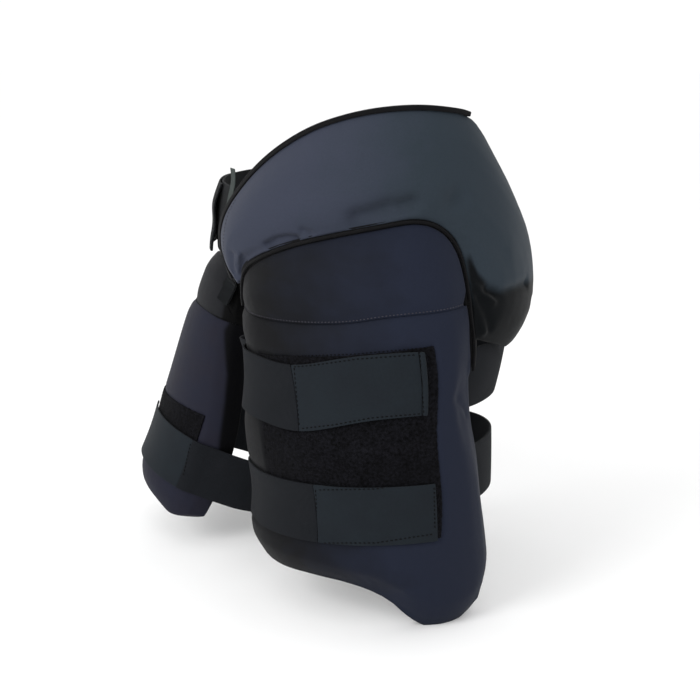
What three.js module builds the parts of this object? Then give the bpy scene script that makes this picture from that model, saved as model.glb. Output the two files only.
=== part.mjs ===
// A combined cricket thigh guard as it sits on its wearer: a padded guard for the left thigh with a hip pad
// above it, an inner guard for the right thigh, a waist belt and the elastic straps that hold them.
// Millimetres, +Z up. The wearer looks along -Y and the wearer's left is +X. The origin is the middle of the
// waist ring, at the middle of the belt's height.
import * as THREE from 'three';

// Driving sizes of the body that the guard is worn on
const guardHeight = 424;
const waistHalfWidth = 152;
const waistHalfDepth = 122;
const thighHalfWidth = 89;
const thighHalfDepth = 99;
const thighSpread = 90;
const thighForward = 19;
const thighGap = 2;

// Driving sizes of the padding
const thighPadThickness = 20;
const thighPadEdge = 9;
const thighPadRoll = 26;
const hipPadThickness = 17;
const hipPadEdge = 7;
const hipPadRoll = 30;
const innerPadThickness = 19;
const innerPadEdge = 13;
const innerPadRoll = 20;
const innerPadLength = 246;
const innerEdgeLean = 15;
const seamDepth = 2.5;
const seamReach = 7;

// Driving sizes of the straps, the belt and the trim
const clearance = 0.6;
const strapWidth = 50;
const strapThickness = 2;
const strapPress = 3.5;
const innerStrapPress = 2.5;
const tabThickness = 1.8;
const pullWidth = 3.6;
const patchThickness = 1.5;
const beltWidth = 62;
const beltThickness = 2.4;
const beltTabLift = 6;
const pipingWidth = 4.4;
const bindingWidth = 2.6;
const linkWidth = 16;
const linkThickness = 2;

// What follows from them
const patternRadius = (thighHalfWidth + thighHalfDepth) / 2 + thighPadThickness;
const arcPerDegree = THREE.MathUtils.degToRad(patternRadius);
const beltStandoff = strapThickness / 2 + clearance;
const padBack = beltStandoff + beltThickness + 2 * clearance;
const pipingGroove = pipingWidth + 2 * clearance;

// Heights in every table are shares of the guard's height, measured from the belt's middle.
// leg says how far a section belongs to the thigh (1) or the waist (0), and the rest are shares too.
const bodySections = [
  { height: 0.31, leg: 0, wide: 0.91, deep: 0.76, forward: 0 },
  { height: 0.142, leg: 0, wide: 0.955, deep: 0.885, forward: 0 },
  { height: 0, leg: 0, wide: 1, deep: 1, forward: 0 },
  { height: -0.118, leg: 0.25, wide: 1.04, deep: 1.015, forward: 0 },
  { height: -0.236, leg: 0.69, wide: 1, deep: 1.01, forward: 0.3 },
  { height: -0.354, leg: 0.93, wide: 1, deep: 0.985, forward: 1.03 },
  { height: -0.495, leg: 1, wide: 1, deep: 0.96, forward: 0.95 },
  { height: -0.684, leg: 1, wide: 0.966, deep: 0.95, forward: 0.95 },
  { height: -0.92, leg: 1, wide: 0.91, deep: 0.91, forward: 0.9 },
];

// The arch where the hip pad meets the thigh pad, from its front foot over the top to its back foot
const archLine = [
  { angle: 2.5, height: -0.155 },
  { angle: 7, height: -0.116 },
  { angle: 12.5, height: -0.078 },
  { angle: 22.5, height: -0.046 },
  { angle: 37.5, height: -0.012 },
  { angle: 53, height: 0.013 },
  { angle: 68, height: 0.031 },
  { angle: 79, height: 0.04 },
  { angle: 87, height: 0.03 },
  { angle: 93, height: 0.003 },
  { angle: 96, height: -0.035 },
  { angle: 97.5, height: -0.094 },
  { angle: 99, height: -0.15 },
  { angle: 101.5, height: -0.2 },
  { angle: 103, height: -0.264 },
];

// The hip pad's free edge, from its front tip over the crown and down the back to its tail
const hipEdge = [
  { angle: 3.5, height: -0.115 },
  { angle: -0.5, height: -0.078 },
  { angle: 1, height: -0.035 },
  { angle: 4.5, height: 0.02 },
  { angle: 9.5, height: 0.067 },
  { angle: 18, height: 0.126 },
  { angle: 30, height: 0.178 },
  { angle: 43.5, height: 0.217 },
  { angle: 60, height: 0.242 },
  { angle: 78, height: 0.251 },
  { angle: 95, height: 0.245 },
  { angle: 107, height: 0.23 },
  { angle: 118.5, height: 0.178 },
  { angle: 133.5, height: 0.092 },
  { angle: 149.5, height: 0.005 },
  { angle: 160, height: -0.085 },
  { angle: 158, height: -0.155 },
  { angle: 147, height: -0.21 },
  { angle: 125, height: -0.228 },
];

// The top-stitched seam across the thigh pad
const seamLine = [
  { angle: 2.5, height: -0.157 },
  { angle: 28, height: -0.158 },
  { angle: 51, height: -0.148 },
  { angle: 66, height: -0.134 },
  { angle: 80, height: -0.127 },
  { angle: 96.5, height: -0.122 },
];

// The thigh pad's free edges below the seam
const thighFrontEdge = [
  { angle: 2.5, height: -0.157 },
  { angle: -7, height: -0.21 },
  { angle: -14, height: -0.28 },
  { angle: -18, height: -0.38 },
  { angle: -20.5, height: -0.48 },
  { angle: -22.5, height: -0.585 },
  { angle: -14, height: -0.642 },
];
const thighBackEdge = [
  { angle: 96.5, height: -0.122 },
  { angle: 98.3, height: -0.17 },
  { angle: 100.4, height: -0.22 },
  { angle: 102, height: -0.27 },
  { angle: 107.5, height: -0.33 },
  { angle: 112.5, height: -0.4 },
  { angle: 114.5, height: -0.49 },
  { angle: 118, height: -0.585 },
  { angle: 120.5, height: -0.66 },
  { angle: 115, height: -0.728 },
];
const thighHem = [
  { angle: -14, height: -0.642 },
  { angle: 11, height: -0.654 },
  { angle: 30, height: -0.655 },
  { angle: 48, height: -0.664 },
  { angle: 60, height: -0.679 },
  { angle: 69, height: -0.703 },
  { angle: 77, height: -0.735 },
  { angle: 87, height: -0.762 },
  { angle: 99, height: -0.763 },
  { angle: 115, height: -0.728 },
];

// Loop patch corners on the thigh pad, and how far its back edge bows
const patchFrame = {
  front: 14, back: 81, backFoot: 88.5, backBow: 2.5, topFront: -0.226, topBack: -0.185, foot: -0.56,
};

// The two elastic straps of the thigh guard: where they run, how far they dip where the stitched tab starts
// and rise behind the leg, where the tab starts and ends, and how far its ends lean. The upper tab's end is
// folded over as a pull.
const strapRows = [
  {
    name: 'upper_strap', height: -0.284, tabHeight: -0.252, dip: 0.017, backRise: 0.012,
    tabFrom: 33, tabTo: 77.5, lean: 4,
  },
  {
    name: 'lower_strap', height: -0.515, tabHeight: -0.505, dip: 0, backRise: 0.045,
    tabFrom: 39, tabTo: 86, lean: 1,
  },
];

const strapBackAngle = 140;
const strapDipReach = 18;
const pulledStrap = 'upper_strap';

// How far a strap's inner face stands off the body, in strap thicknesses, round the thigh from its sewn end
// at the pad's back edge. cover says how far the strap has climbed onto the pad's face (1), and pile how far
// onto the loop patch.
const strapPath = [
  { angle: 90, standoff: 0.3, cover: 0, pile: 0 },
  { angle: 116, standoff: 0.4, cover: 0, pile: 0 },
  { angle: 140, standoff: 0.5, cover: 0, pile: 0 },
  { angle: 200, standoff: 1, cover: 0, pile: 0 },
  { angle: 270, standoff: 1.25, cover: 0, pile: 0 },
  { angle: 305, standoff: 1.75, cover: 0, pile: 0 },
  { angle: 338, standoff: 0, cover: 1, pile: 0 },
  { angle: 355, standoff: 0, cover: 1, pile: 0 },
  { angle: 370, standoff: 0, cover: 1, pile: 1 },
  { angle: 460, standoff: 0, cover: 1, pile: 1 },
];

// The belt's hooked end: where it laps over at the front, and how its free end bulges off the belt.
// Heights, reaches and the pull's curl are shares of half the belt's width, lifts of beltTabLift.
const beltTab = { from: -76, flatTo: -48, to: -14 };
const beltSeamGap = 1;
const beltTabBulges = [
  { height: 0.4, reach: 0.35, lift: 0.6 },
  { height: -0.9, reach: 0.4, lift: 1 },
];
const beltPull = { from: -3, to: 1, height: 1.55, curl: 0.45 };

// The right thigh, in its own frame along the leg, which steps forward and a little outward
const innerTop = { across: -0.97, forward: 0.05, height: -0.166 };
const innerStepForward = 18;
const innerStepOutward = 7;
const innerSections = [
  { height: 0.1, wide: 0.944, deep: 0.88 },
  { height: -0.3, wide: 0.962, deep: 0.915 },
  { height: -0.65, wide: 0.952, deep: 0.9 },
  { height: -1.1, wide: 0.935, deep: 0.925 },
];

// The inner guard's outline, heights as shares of its own length
const innerCrown = [
  { angle: -50, height: -0.262 },
  { angle: -47, height: -0.12 },
  { angle: -30, height: -0.045 },
  { angle: -8, height: -0.035 },
  { angle: 12, height: -0.05 },
  { angle: 25, height: -0.095 },
  { angle: 29, height: -0.23 },
];
const innerSeam = [
  { angle: -50, height: -0.266 },
  { angle: -10, height: -0.246 },
  { angle: 29, height: -0.234 },
];
const innerFarEdge = [
  { angle: -50, height: -0.266 },
  { angle: -56, height: -0.5 },
  { angle: -52, height: -0.88 },
  { angle: -44, height: -0.968 },
];
const innerNearEdge = [
  { angle: 29, height: -0.234 },
  { angle: 38.5, height: -0.45 },
  { angle: 43, height: -0.6 },
  { angle: 45, height: -0.74 },
  { angle: 44, height: -0.9 },
  { angle: 42, height: -1.0 },
];
const innerHem = [
  { angle: -44, height: -0.968 },
  { angle: -20, height: -0.988 },
  { angle: 5, height: -1.004 },
  { angle: 20, height: -1.016 },
  { angle: 33, height: -1.036 },
  { angle: 42, height: -1.0 },
];
const innerPatchFrame = { front: -34, back: 33, topFront: -0.65, topBack: -0.602, foot: -0.83 };
const innerStrapHeight = -0.81;
const innerStrapPath = [
  { angle: -24, standoff: 0, cover: 1, pile: 1 },
  { angle: 35, standoff: 0, cover: 1, pile: 1 },
  { angle: 41, standoff: 0, cover: 1, pile: 0 },
  { angle: 45, standoff: 0, cover: 1, pile: 0 },
  { angle: 60, standoff: 5, cover: 0, pile: 0 },
  { angle: 80, standoff: 1.25, cover: 0, pile: 0 },
  { angle: 180, standoff: 1, cover: 0, pile: 0 },
  { angle: 268, standoff: 1.25, cover: 0, pile: 0 },
  { angle: 291, standoff: 5, cover: 0, pile: 0 },
  { angle: 306, standoff: 0, cover: 1, pile: 0 },
  { angle: 317, standoff: 0, cover: 1, pile: 0 },
];

// The link strap between the belt and the inner guard's top. over is how far it stands off the pad's face, in
// its own thicknesses.
const linkAngle = -2;
const linkOnPad = [
  { angle: 21, height: -0.168, over: 1.1 },
  { angle: 22.5, height: -0.07, over: 3.4 },
];

// Blends a table's columns smoothly at a value of its key column
function readTable(rows, key, value) {
  const sorted = [...rows].sort((first, second) => first[key] - second[key]);
  const last = sorted.length - 1;
  const at = THREE.MathUtils.clamp(value, sorted[0][key], sorted[last][key]);
  let step = 0;
  while (step < last - 1 && at > sorted[step + 1][key]) step += 1;
  const span = sorted[step + 1][key] - sorted[step][key];
  const share = (at - sorted[step][key]) / span;
  const slope = (column, row) => {
    const before = sorted[Math.max(row - 1, 0)];
    const after = sorted[Math.min(row + 1, last)];
    return (after[column] - before[column]) / (after[key] - before[key]);
  };
  const result = {};
  for (const column of Object.keys(rows[0])) {
    if (typeof rows[0][column] !== 'number') continue;
    const start = sorted[step][column];
    const end = sorted[step + 1][column];
    const square = share * share;
    const cube = square * share;
    result[column] = (2 * cube - 3 * square + 1) * start
      + (cube - 2 * square + share) * span * slope(column, step)
      + (3 * square - 2 * cube) * end
      + (cube - square) * span * slope(column, step + 1);
  }
  return result;
}

// A point on the left side's body, a distance outside it
function bodyPoint(angle, z, offset) {
  const section = readTable(bodySections, 'height', z / guardHeight);
  const halfWidth = THREE.MathUtils.lerp(waistHalfWidth, thighHalfWidth, section.leg) * section.wide;
  const halfDepth = THREE.MathUtils.lerp(waistHalfDepth, thighHalfDepth, section.leg) * section.deep;
  const turn = THREE.MathUtils.degToRad(angle);
  const middle = section.leg * thighSpread;
  const reach = Math.sin(turn) < 0 ? Math.min(middle - thighGap / 2, halfWidth) : halfWidth;
  return new THREE.Vector3(
    middle + (reach + offset) * Math.sin(turn),
    -section.forward * thighForward - (halfDepth + offset) * Math.cos(turn),
    z,
  );
}

// A point on the waist: the left side's body and its mirror image, drawn in to one ring at front and back
function waistPoint(angle, z, offset) {
  const turn = THREE.MathUtils.degToRad(angle);
  const side = Math.sin(turn) < 0 ? -1 : 1;
  const section = readTable(bodySections, 'height', z / guardHeight);
  const place = bodyPoint(side * angle, z, offset);
  place.x -= section.leg * thighSpread * (1 - Math.abs(Math.sin(turn)));
  place.x *= side;
  return place;
}

// A point on the right thigh, in that leg's own frame
function innerPoint(angle, z, offset) {
  const section = readTable(innerSections, 'height', z / innerPadLength);
  const turn = THREE.MathUtils.degToRad(angle);
  const x = (thighHalfWidth * section.wide + offset) * Math.sin(turn);
  const y = -(thighHalfDepth * section.deep + offset) * Math.cos(turn);
  return new THREE.Vector3(x, y, z);
}

// Pattern space is flat like the cut cloth: x runs round the leg in millimetres and y is the height.
function flatPoint(row, height = guardHeight) {
  return new THREE.Vector2(row.angle * arcPerDegree, row.height * height);
}

function flatCurve(rows, height = guardHeight) {
  return new THREE.SplineCurve(rows.map((row) => flatPoint(row, height)));
}

function angleOf(point) {
  return point.x / arcPerDegree;
}

// A curve moved sideways in pattern space, to the left of its run when the distance is positive
function besideCurve(curve, distance, from = 0, to = 1) {
  const points = [];
  const steps = 40;
  for (let step = 0; step <= steps; step += 1) {
    const at = from + (to - from) * (step / steps);
    const run = curve.getTangentAt(at);
    points.push(curve.getPointAt(at).add(new THREE.Vector2(-run.y, run.x).multiplyScalar(distance)));
  }
  return new THREE.SplineCurve(points);
}

// The part of a curve between two shares of its length
function partOfCurve(curve, from, to) {
  return besideCurve(curve, 0, from, to);
}

// A patch ruled between two curves that run the same way
function ruledPatch(lower, upper) {
  return (u, v) => lower.getPointAt(u).lerp(upper.getPointAt(u), v);
}

// A patch filled in between four edge curves that share their corners
function filledPatch(front, back, lower, upper) {
  return (u, v) => {
    const across = front.getPointAt(v).multiplyScalar(1 - u).addScaledVector(back.getPointAt(v), u);
    const along = lower.getPointAt(u).multiplyScalar(1 - v).addScaledVector(upper.getPointAt(u), v);
    const corners = lower.getPointAt(0).multiplyScalar((1 - u) * (1 - v))
      .addScaledVector(lower.getPointAt(1), u * (1 - v))
      .addScaledVector(upper.getPointAt(0), (1 - u) * v)
      .addScaledVector(upper.getPointAt(1), u * v);
    return across.add(along).sub(corners);
  };
}

// A patch between two angles and two heights
function bandPatch(fromAngle, toAngle, lowAt, highAt) {
  return (u, v) => {
    const angle = THREE.MathUtils.lerp(fromAngle, toAngle, u);
    return new THREE.Vector2(angle * arcPerDegree, THREE.MathUtils.lerp(lowAt(u), highAt(u), v));
  };
}

// The closed outline of a patch as a list of points
function outlineOf(curves) {
  return curves.flatMap((curve) => curve.getSpacedPoints(36));
}

// How far a point lies from the nearest stretch of an outline
function distanceToOutline(point, outline) {
  let nearest = Infinity;
  for (let index = 0; index < outline.length - 1; index += 1) {
    const start = outline[index];
    const run = outline[index + 1].clone().sub(start);
    const length = Math.max(run.lengthSq(), 1e-9);
    const share = THREE.MathUtils.clamp(point.clone().sub(start).dot(run) / length, 0, 1);
    nearest = Math.min(nearest, point.distanceTo(start.clone().addScaledVector(run, share)));
  }
  return nearest;
}

// A pad's thickness, rolled over from its full depth to its sewn edge
function rolledThickness(distance, full, edge, roll) {
  const share = Math.min(distance / roll, 1);
  return edge + (full - edge) * Math.sin(share * Math.PI / 2);
}

// A thick sheet bent onto a form: the box's faces are carried onto the form by the patch. lean carries the
// back face's last edge further round than the front face's.
function bentSheet({ name, colour, roughness, form, patch, inner, outer, columns, rows, lean = 0 }) {
  const geometry = new THREE.BoxGeometry(1, 1, 1, columns, rows, 1);
  const position = geometry.attributes.position;
  for (let index = 0; index < position.count; index += 1) {
    const across = position.getX(index) + 0.5;
    const point = patch(across, position.getY(index) + 0.5);
    const outside = position.getZ(index) > 0;
    if (!outside) point.x += lean * THREE.MathUtils.smoothstep(across, 0.8, 1);
    const place = form(angleOf(point), point.y, outside ? outer(point) : inner(point));
    position.setXYZ(index, place.x, place.y, place.z);
  }
  geometry.computeVertexNormals();
  const mesh = new THREE.Mesh(geometry, new THREE.MeshStandardMaterial({ color: colour, roughness }));
  mesh.name = name;
  return mesh;
}

// A round cord along a list of points
function roundCord({ name, colour, points, width, steps }) {
  const section = new THREE.Shape();
  section.absarc(0, 0, width / 2, 0, 2 * Math.PI);
  const path = new THREE.CatmullRomCurve3(points);
  const geometry = new THREE.ExtrudeGeometry(section, { steps, extrudePath: path, curveSegments: 3 });
  const mesh = new THREE.Mesh(geometry, new THREE.MeshStandardMaterial({ color: colour, roughness: 0.7 }));
  mesh.name = name;
  return mesh;
}

// The curves of the thigh pad and the hip pad, with the piping's groove kept free along the arch
const arch = flatCurve(archLine);
const hipFree = flatCurve(hipEdge);
const seam = flatCurve(seamLine);
const thighFront = flatCurve(thighFrontEdge);
const thighBack = flatCurve(thighBackEdge);
const hem = flatCurve(thighHem);
const archTopShare = 0.985;
const hipFromShare = 0.07;
const hipToShare = 0.91;
const underArch = besideCurve(arch, -pipingGroove / 2, 0.012, 0.78);
const overArch = besideCurve(arch, pipingGroove / 2, hipFromShare, hipToShare);
const thighOutline = outlineOf([
  partOfCurve(thighFront, 1, 0),
  underArch,
  partOfCurve(thighBack, 0.05, 1),
  partOfCurve(hem, 1, 0),
]);
const hipOutline = outlineOf([overArch, partOfCurve(hipFree, 1, 0)]);

// The height of a strap's middle round the leg
function strapMiddle(strap, angle) {
  const climb = THREE.MathUtils.smoothstep(angle, 360, 440);
  const behind = 0.5 + 0.5 * Math.cos(THREE.MathUtils.degToRad(angle - strapBackAngle));
  const rise = strap.backRise * behind * (1 - THREE.MathUtils.smoothstep(angle, 300, 360));
  const dip = strap.dip * Math.exp(-(((angle - 360 - strap.tabFrom) / strapDipReach) ** 2));
  return (THREE.MathUtils.lerp(strap.height, strap.tabHeight, climb) + rise - dip) * guardHeight;
}

// How deep a strap's pull sinks into a pad, full under its middle and gone just past its edges
function pressUnder(toMiddle) {
  return Math.exp(-((2 * toMiddle / strapWidth) ** 4));
}

function thighFace(point) {
  const thickness = rolledThickness(
    distanceToOutline(point, thighOutline), thighPadThickness, thighPadEdge, thighPadRoll);
  const toSeam = distanceToOutline(point, seam.getPoints(40));
  const angle = angleOf(point);
  const pull = strapPress * (1 - THREE.MathUtils.smoothstep(angle, thighFrontEdge[0].angle, patchFrame.back));
  const pressed = strapRows.reduce(
    (sum, strap) => sum + pressUnder(point.y - strapMiddle(strap, angle + 360)), 0);
  return padBack + thickness - seamDepth * Math.exp(-((toSeam / seamReach) ** 2)) - pull * pressed;
}

function hipFace(point) {
  return padBack + rolledThickness(
    distanceToOutline(point, hipOutline), hipPadThickness, hipPadEdge, hipPadRoll);
}

const back = () => padBack;
const guard = new THREE.Group();

// Hip pad, thigh pad panels, piping and binding
function makeHipPad() {
  return bentSheet({
    name: 'hip_pad',
    colour: 0x434955,
    roughness: 0.75,
    form: bodyPoint,
    patch: ruledPatch(overArch, hipFree),
    inner: back,
    outer: hipFace,
    columns: 38,
    rows: 9,
  });
}

function makeThighPads() {
  const stitchGap = clearance / 2;
  const upper = bentSheet({
    name: 'thigh_pad_upper',
    colour: 0x24272e,
    roughness: 0.75,
    form: bodyPoint,
    patch: ruledPatch(besideCurve(seam, stitchGap, 0.01, 0.985), underArch),
    inner: back,
    outer: thighFace,
    columns: 24,
    rows: 6,
  });
  const lower = bentSheet({
    name: 'thigh_pad_lower',
    colour: 0x242833,
    roughness: 0.75,
    form: bodyPoint,
    patch: filledPatch(
      partOfCurve(thighFront, 1, 0), partOfCurve(thighBack, 1, 0), hem, besideCurve(seam, -stitchGap)),
    inner: back,
    outer: thighFace,
    columns: 22,
    rows: 20,
  });
  return [upper, lower];
}

function makeArchPiping() {
  const points = [];
  for (let step = 0; step <= 30; step += 1) {
    const point = arch.getPointAt((step / 30) * archTopShare);
    points.push(bodyPoint(angleOf(point), point.y, padBack + hipPadEdge));
  }
  return roundCord({ name: 'arch_piping', colour: 0x15171b, points, width: pipingWidth, steps: 40 });
}

function makeHipBinding() {
  const bound = 0.515;
  return bentSheet({
    name: 'hip_binding',
    colour: 0x121316,
    roughness: 0.8,
    form: bodyPoint,
    patch: ruledPatch(
      besideCurve(hipFree, clearance, 0.01, bound), besideCurve(hipFree, clearance + bindingWidth, 0.01, bound)),
    inner: () => padBack + hipPadEdge / 2,
    outer: () => padBack + hipPadEdge + clearance,
    columns: 34,
    rows: 1,
  });
}

function makeThighPatch() {
  const low = () => patchFrame.foot * guardHeight;
  const high = (u) => THREE.MathUtils.lerp(patchFrame.topFront, patchFrame.topBack, u) * guardHeight;
  const band = bandPatch(0, 1, low, high);
  const patch = (u, v) => {
    const point = band(u, v);
    const bow = patchFrame.backBow * Math.sin(v * Math.PI);
    const backAngle = THREE.MathUtils.lerp(patchFrame.backFoot, patchFrame.back, v) + bow;
    point.x = THREE.MathUtils.lerp(patchFrame.front, backAngle, u) * arcPerDegree;
    return point;
  };
  return bentSheet({
    name: 'thigh_loop_patch',
    colour: 0x101013,
    roughness: 1,
    form: bodyPoint,
    patch,
    inner: (point) => thighFace(point) + clearance,
    outer: (point) => thighFace(point) + clearance + patchThickness,
    columns: 14,
    rows: 10,
  });
}

// How far a strap's inner face is from the body where it runs over a pad or behind the leg
function strapReach(path, face) {
  return (point) => {
    const row = readTable(path, 'angle', angleOf(point));
    const cover = THREE.MathUtils.clamp(row.cover, 0, 1);
    const pile = THREE.MathUtils.clamp(row.pile, 0, 1);
    const standoff = Math.max(row.standoff * strapThickness, clearance / 2);
    const overPad = face(point) + clearance + (patchThickness + clearance) * pile;
    return THREE.MathUtils.lerp(standoff, overPad, cover);
  };
}

function makeThighStrap(strap) {
  const from = strapPath[0].angle;
  const to = 360 + strap.tabFrom - 0.5;
  const band = (start, end) => {
    const straight = bandPatch(
      start,
      end,
      (u) => strapMiddle(strap, THREE.MathUtils.lerp(start, end, u)) - strapWidth / 2,
      (u) => strapMiddle(strap, THREE.MathUtils.lerp(start, end, u)) + strapWidth / 2,
    );
    return (u, v) => {
      const point = straight(u, v);
      const leaning = THREE.MathUtils.smoothstep(angleOf(point), 360, 360 + strap.tabFrom);
      point.x += (0.5 - v) * leaning * strap.lean * arcPerDegree;
      return point;
    };
  };
  const face = (point) => thighFace(new THREE.Vector2(
    Math.max(point.x - 360 * arcPerDegree, thighFront.getPointAt(0.5).x), point.y));
  const reach = strapReach(strapPath, face);
  const elastic = bentSheet({
    name: strap.name,
    colour: 0x262c32,
    roughness: 0.85,
    form: bodyPoint,
    patch: band(from, to),
    inner: reach,
    outer: (point) => reach(point) + strapThickness,
    columns: 76,
    rows: 2,
  });
  const tab = bentSheet({
    name: `${strap.name}_tab`,
    colour: 0x2b3138,
    roughness: 0.8,
    form: bodyPoint,
    patch: band(360 + strap.tabFrom, 360 + strap.tabTo),
    inner: reach,
    outer: (point) => reach(point) + tabThickness,
    columns: 14,
    rows: 2,
  });
  if (strap.name !== pulledStrap) return [elastic, tab];
  const pullFrom = 360 + strap.tabTo + clearance / arcPerDegree;
  const pull = bentSheet({
    name: `${strap.name}_pull`,
    colour: 0x3a4148,
    roughness: 0.8,
    form: bodyPoint,
    patch: band(pullFrom, pullFrom + pullWidth / arcPerDegree),
    inner: reach,
    outer: (point) => reach(point) + tabThickness + strapThickness,
    columns: 2,
    rows: 2,
  });
  return [elastic, tab, pull];
}

guard.add(makeHipPad(), ...makeThighPads(), makeArchPiping(), makeHipBinding(), makeThighPatch());
guard.add(...strapRows.flatMap(makeThighStrap));

// Waist belt: one band round the waist with its hooked end lapped over at the front
function makeBelt() {
  const half = beltWidth / 2;
  const beltFace = beltStandoff + beltThickness + clearance;
  const belt = bentSheet({
    name: 'waist_belt',
    colour: 0x1b1d21,
    roughness: 0.85,
    form: waistPoint,
    patch: bandPatch(beltTab.from + beltSeamGap, beltTab.from + 360, () => -half, () => half),
    inner: () => beltStandoff,
    outer: () => beltStandoff + beltThickness,
    columns: 60,
    rows: 2,
  });
  const lift = (point) => {
    const open = THREE.MathUtils.smoothstep(angleOf(point), beltTab.flatTo, beltTab.to);
    const bulge = beltTabBulges.reduce((sum, row) => {
      const away = (point.y / half - row.height) / row.reach;
      return sum + row.lift * Math.exp(-away * away);
    }, 0);
    return beltFace + beltTabLift * open * bulge;
  };
  const tab = bentSheet({
    name: 'belt_tab',
    colour: 0x202227,
    roughness: 0.85,
    form: waistPoint,
    patch: bandPatch(beltTab.from, beltTab.to, () => clearance - half, () => half - clearance),
    inner: lift,
    outer: (point) => lift(point) + tabThickness,
    columns: 14,
    rows: 6,
  });
  const curl = (point) => {
    const above = Math.max(point.y / half - 1, 0);
    return beltFace + beltPull.curl * half * above * above;
  };
  const pull = bentSheet({
    name: 'belt_pull',
    colour: 0x3c4542,
    roughness: 0.8,
    form: waistPoint,
    patch: bandPatch(beltPull.from, beltPull.to, () => 0, () => beltPull.height * half),
    inner: curl,
    outer: (point) => curl(point) + tabThickness / 2,
    columns: 2,
    rows: 8,
  });
  return [belt, tab, pull];
}

guard.add(...makeBelt());

// Inner guard for the right thigh, built along its own leg and set down in the leg's stride
const innerLeg = new THREE.Group();
innerLeg.position.set(
  innerTop.across * thighSpread, -innerTop.forward * thighForward, innerTop.height * guardHeight);
innerLeg.rotation.set(
  -THREE.MathUtils.degToRad(innerStepForward), THREE.MathUtils.degToRad(innerStepOutward), 0);
guard.add(innerLeg);

const innerEdges = {
  crown: flatCurve(innerCrown, innerPadLength),
  seam: flatCurve(innerSeam, innerPadLength),
  far: flatCurve(innerFarEdge, innerPadLength),
  near: flatCurve(innerNearEdge, innerPadLength),
  hem: flatCurve(innerHem, innerPadLength),
};
const innerOutline = outlineOf([
  partOfCurve(innerEdges.far, 1, 0),
  innerEdges.crown,
  innerEdges.near,
  partOfCurve(innerEdges.hem, 1, 0),
]);

function innerFace(point) {
  const thickness = rolledThickness(
    distanceToOutline(point, innerOutline), innerPadThickness, innerPadEdge, innerPadRoll);
  const toSeam = distanceToOutline(point, innerEdges.seam.getPoints(20));
  const pressed = innerStrapPress * pressUnder(point.y - innerStrapHeight * innerPadLength);
  return clearance + thickness - seamDepth * Math.exp(-((toSeam / seamReach) ** 2)) - pressed;
}

function makeInnerPads() {
  const stitchGap = clearance / 2;
  const look = {
    roughness: 0.75,
    form: innerPoint,
    inner: () => clearance,
    outer: innerFace,
    columns: 14,
    lean: innerEdgeLean,
  };
  const upper = bentSheet({
    ...look,
    name: 'inner_pad_upper',
    colour: 0x2e2f30,
    patch: ruledPatch(
      besideCurve(innerEdges.seam, stitchGap, 0.005, 0.995), partOfCurve(innerEdges.crown, 0.015, 0.985)),
    rows: 6,
  });
  const lower = bentSheet({
    ...look,
    name: 'inner_pad_lower',
    colour: 0x30303a,
    patch: filledPatch(
      partOfCurve(innerEdges.far, 1, 0),
      partOfCurve(innerEdges.near, 1, 0),
      innerEdges.hem,
      besideCurve(innerEdges.seam, -stitchGap),
    ),
    rows: 14,
  });
  return [upper, lower];
}

function makeInnerStrap() {
  const middle = innerStrapHeight * innerPadLength;
  const reach = strapReach(innerStrapPath, innerFace);
  const band = (from, to) => bandPatch(from, to, () => middle - strapWidth / 2, () => middle + strapWidth / 2);
  const frame = innerPatchFrame;
  const patch = bentSheet({
    name: 'inner_loop_patch',
    colour: 0x101013,
    roughness: 1,
    form: innerPoint,
    patch: bandPatch(
      frame.front,
      frame.back,
      () => frame.foot * innerPadLength,
      (u) => THREE.MathUtils.lerp(frame.topFront, frame.topBack, u) * innerPadLength,
    ),
    inner: (point) => innerFace(point) + clearance,
    outer: (point) => innerFace(point) + clearance + patchThickness,
    columns: 10,
    rows: 4,
  });
  const tabTo = 31;
  const strap = bentSheet({
    name: 'inner_strap',
    colour: 0x2c3038,
    roughness: 0.85,
    form: innerPoint,
    patch: band(tabTo + 0.5, innerStrapPath.at(-1).angle),
    inner: reach,
    outer: (point) => reach(point) + strapThickness,
    columns: 60,
    rows: 2,
  });
  const tab = bentSheet({
    name: 'inner_strap_tab',
    colour: 0x2f333a,
    roughness: 0.8,
    form: innerPoint,
    patch: band(-24, tabTo),
    inner: reach,
    outer: (point) => reach(point) + tabThickness,
    columns: 12,
    rows: 2,
  });
  return [patch, strap, tab];
}

innerLeg.add(...makeInnerPads(), ...makeInnerStrap());

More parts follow.
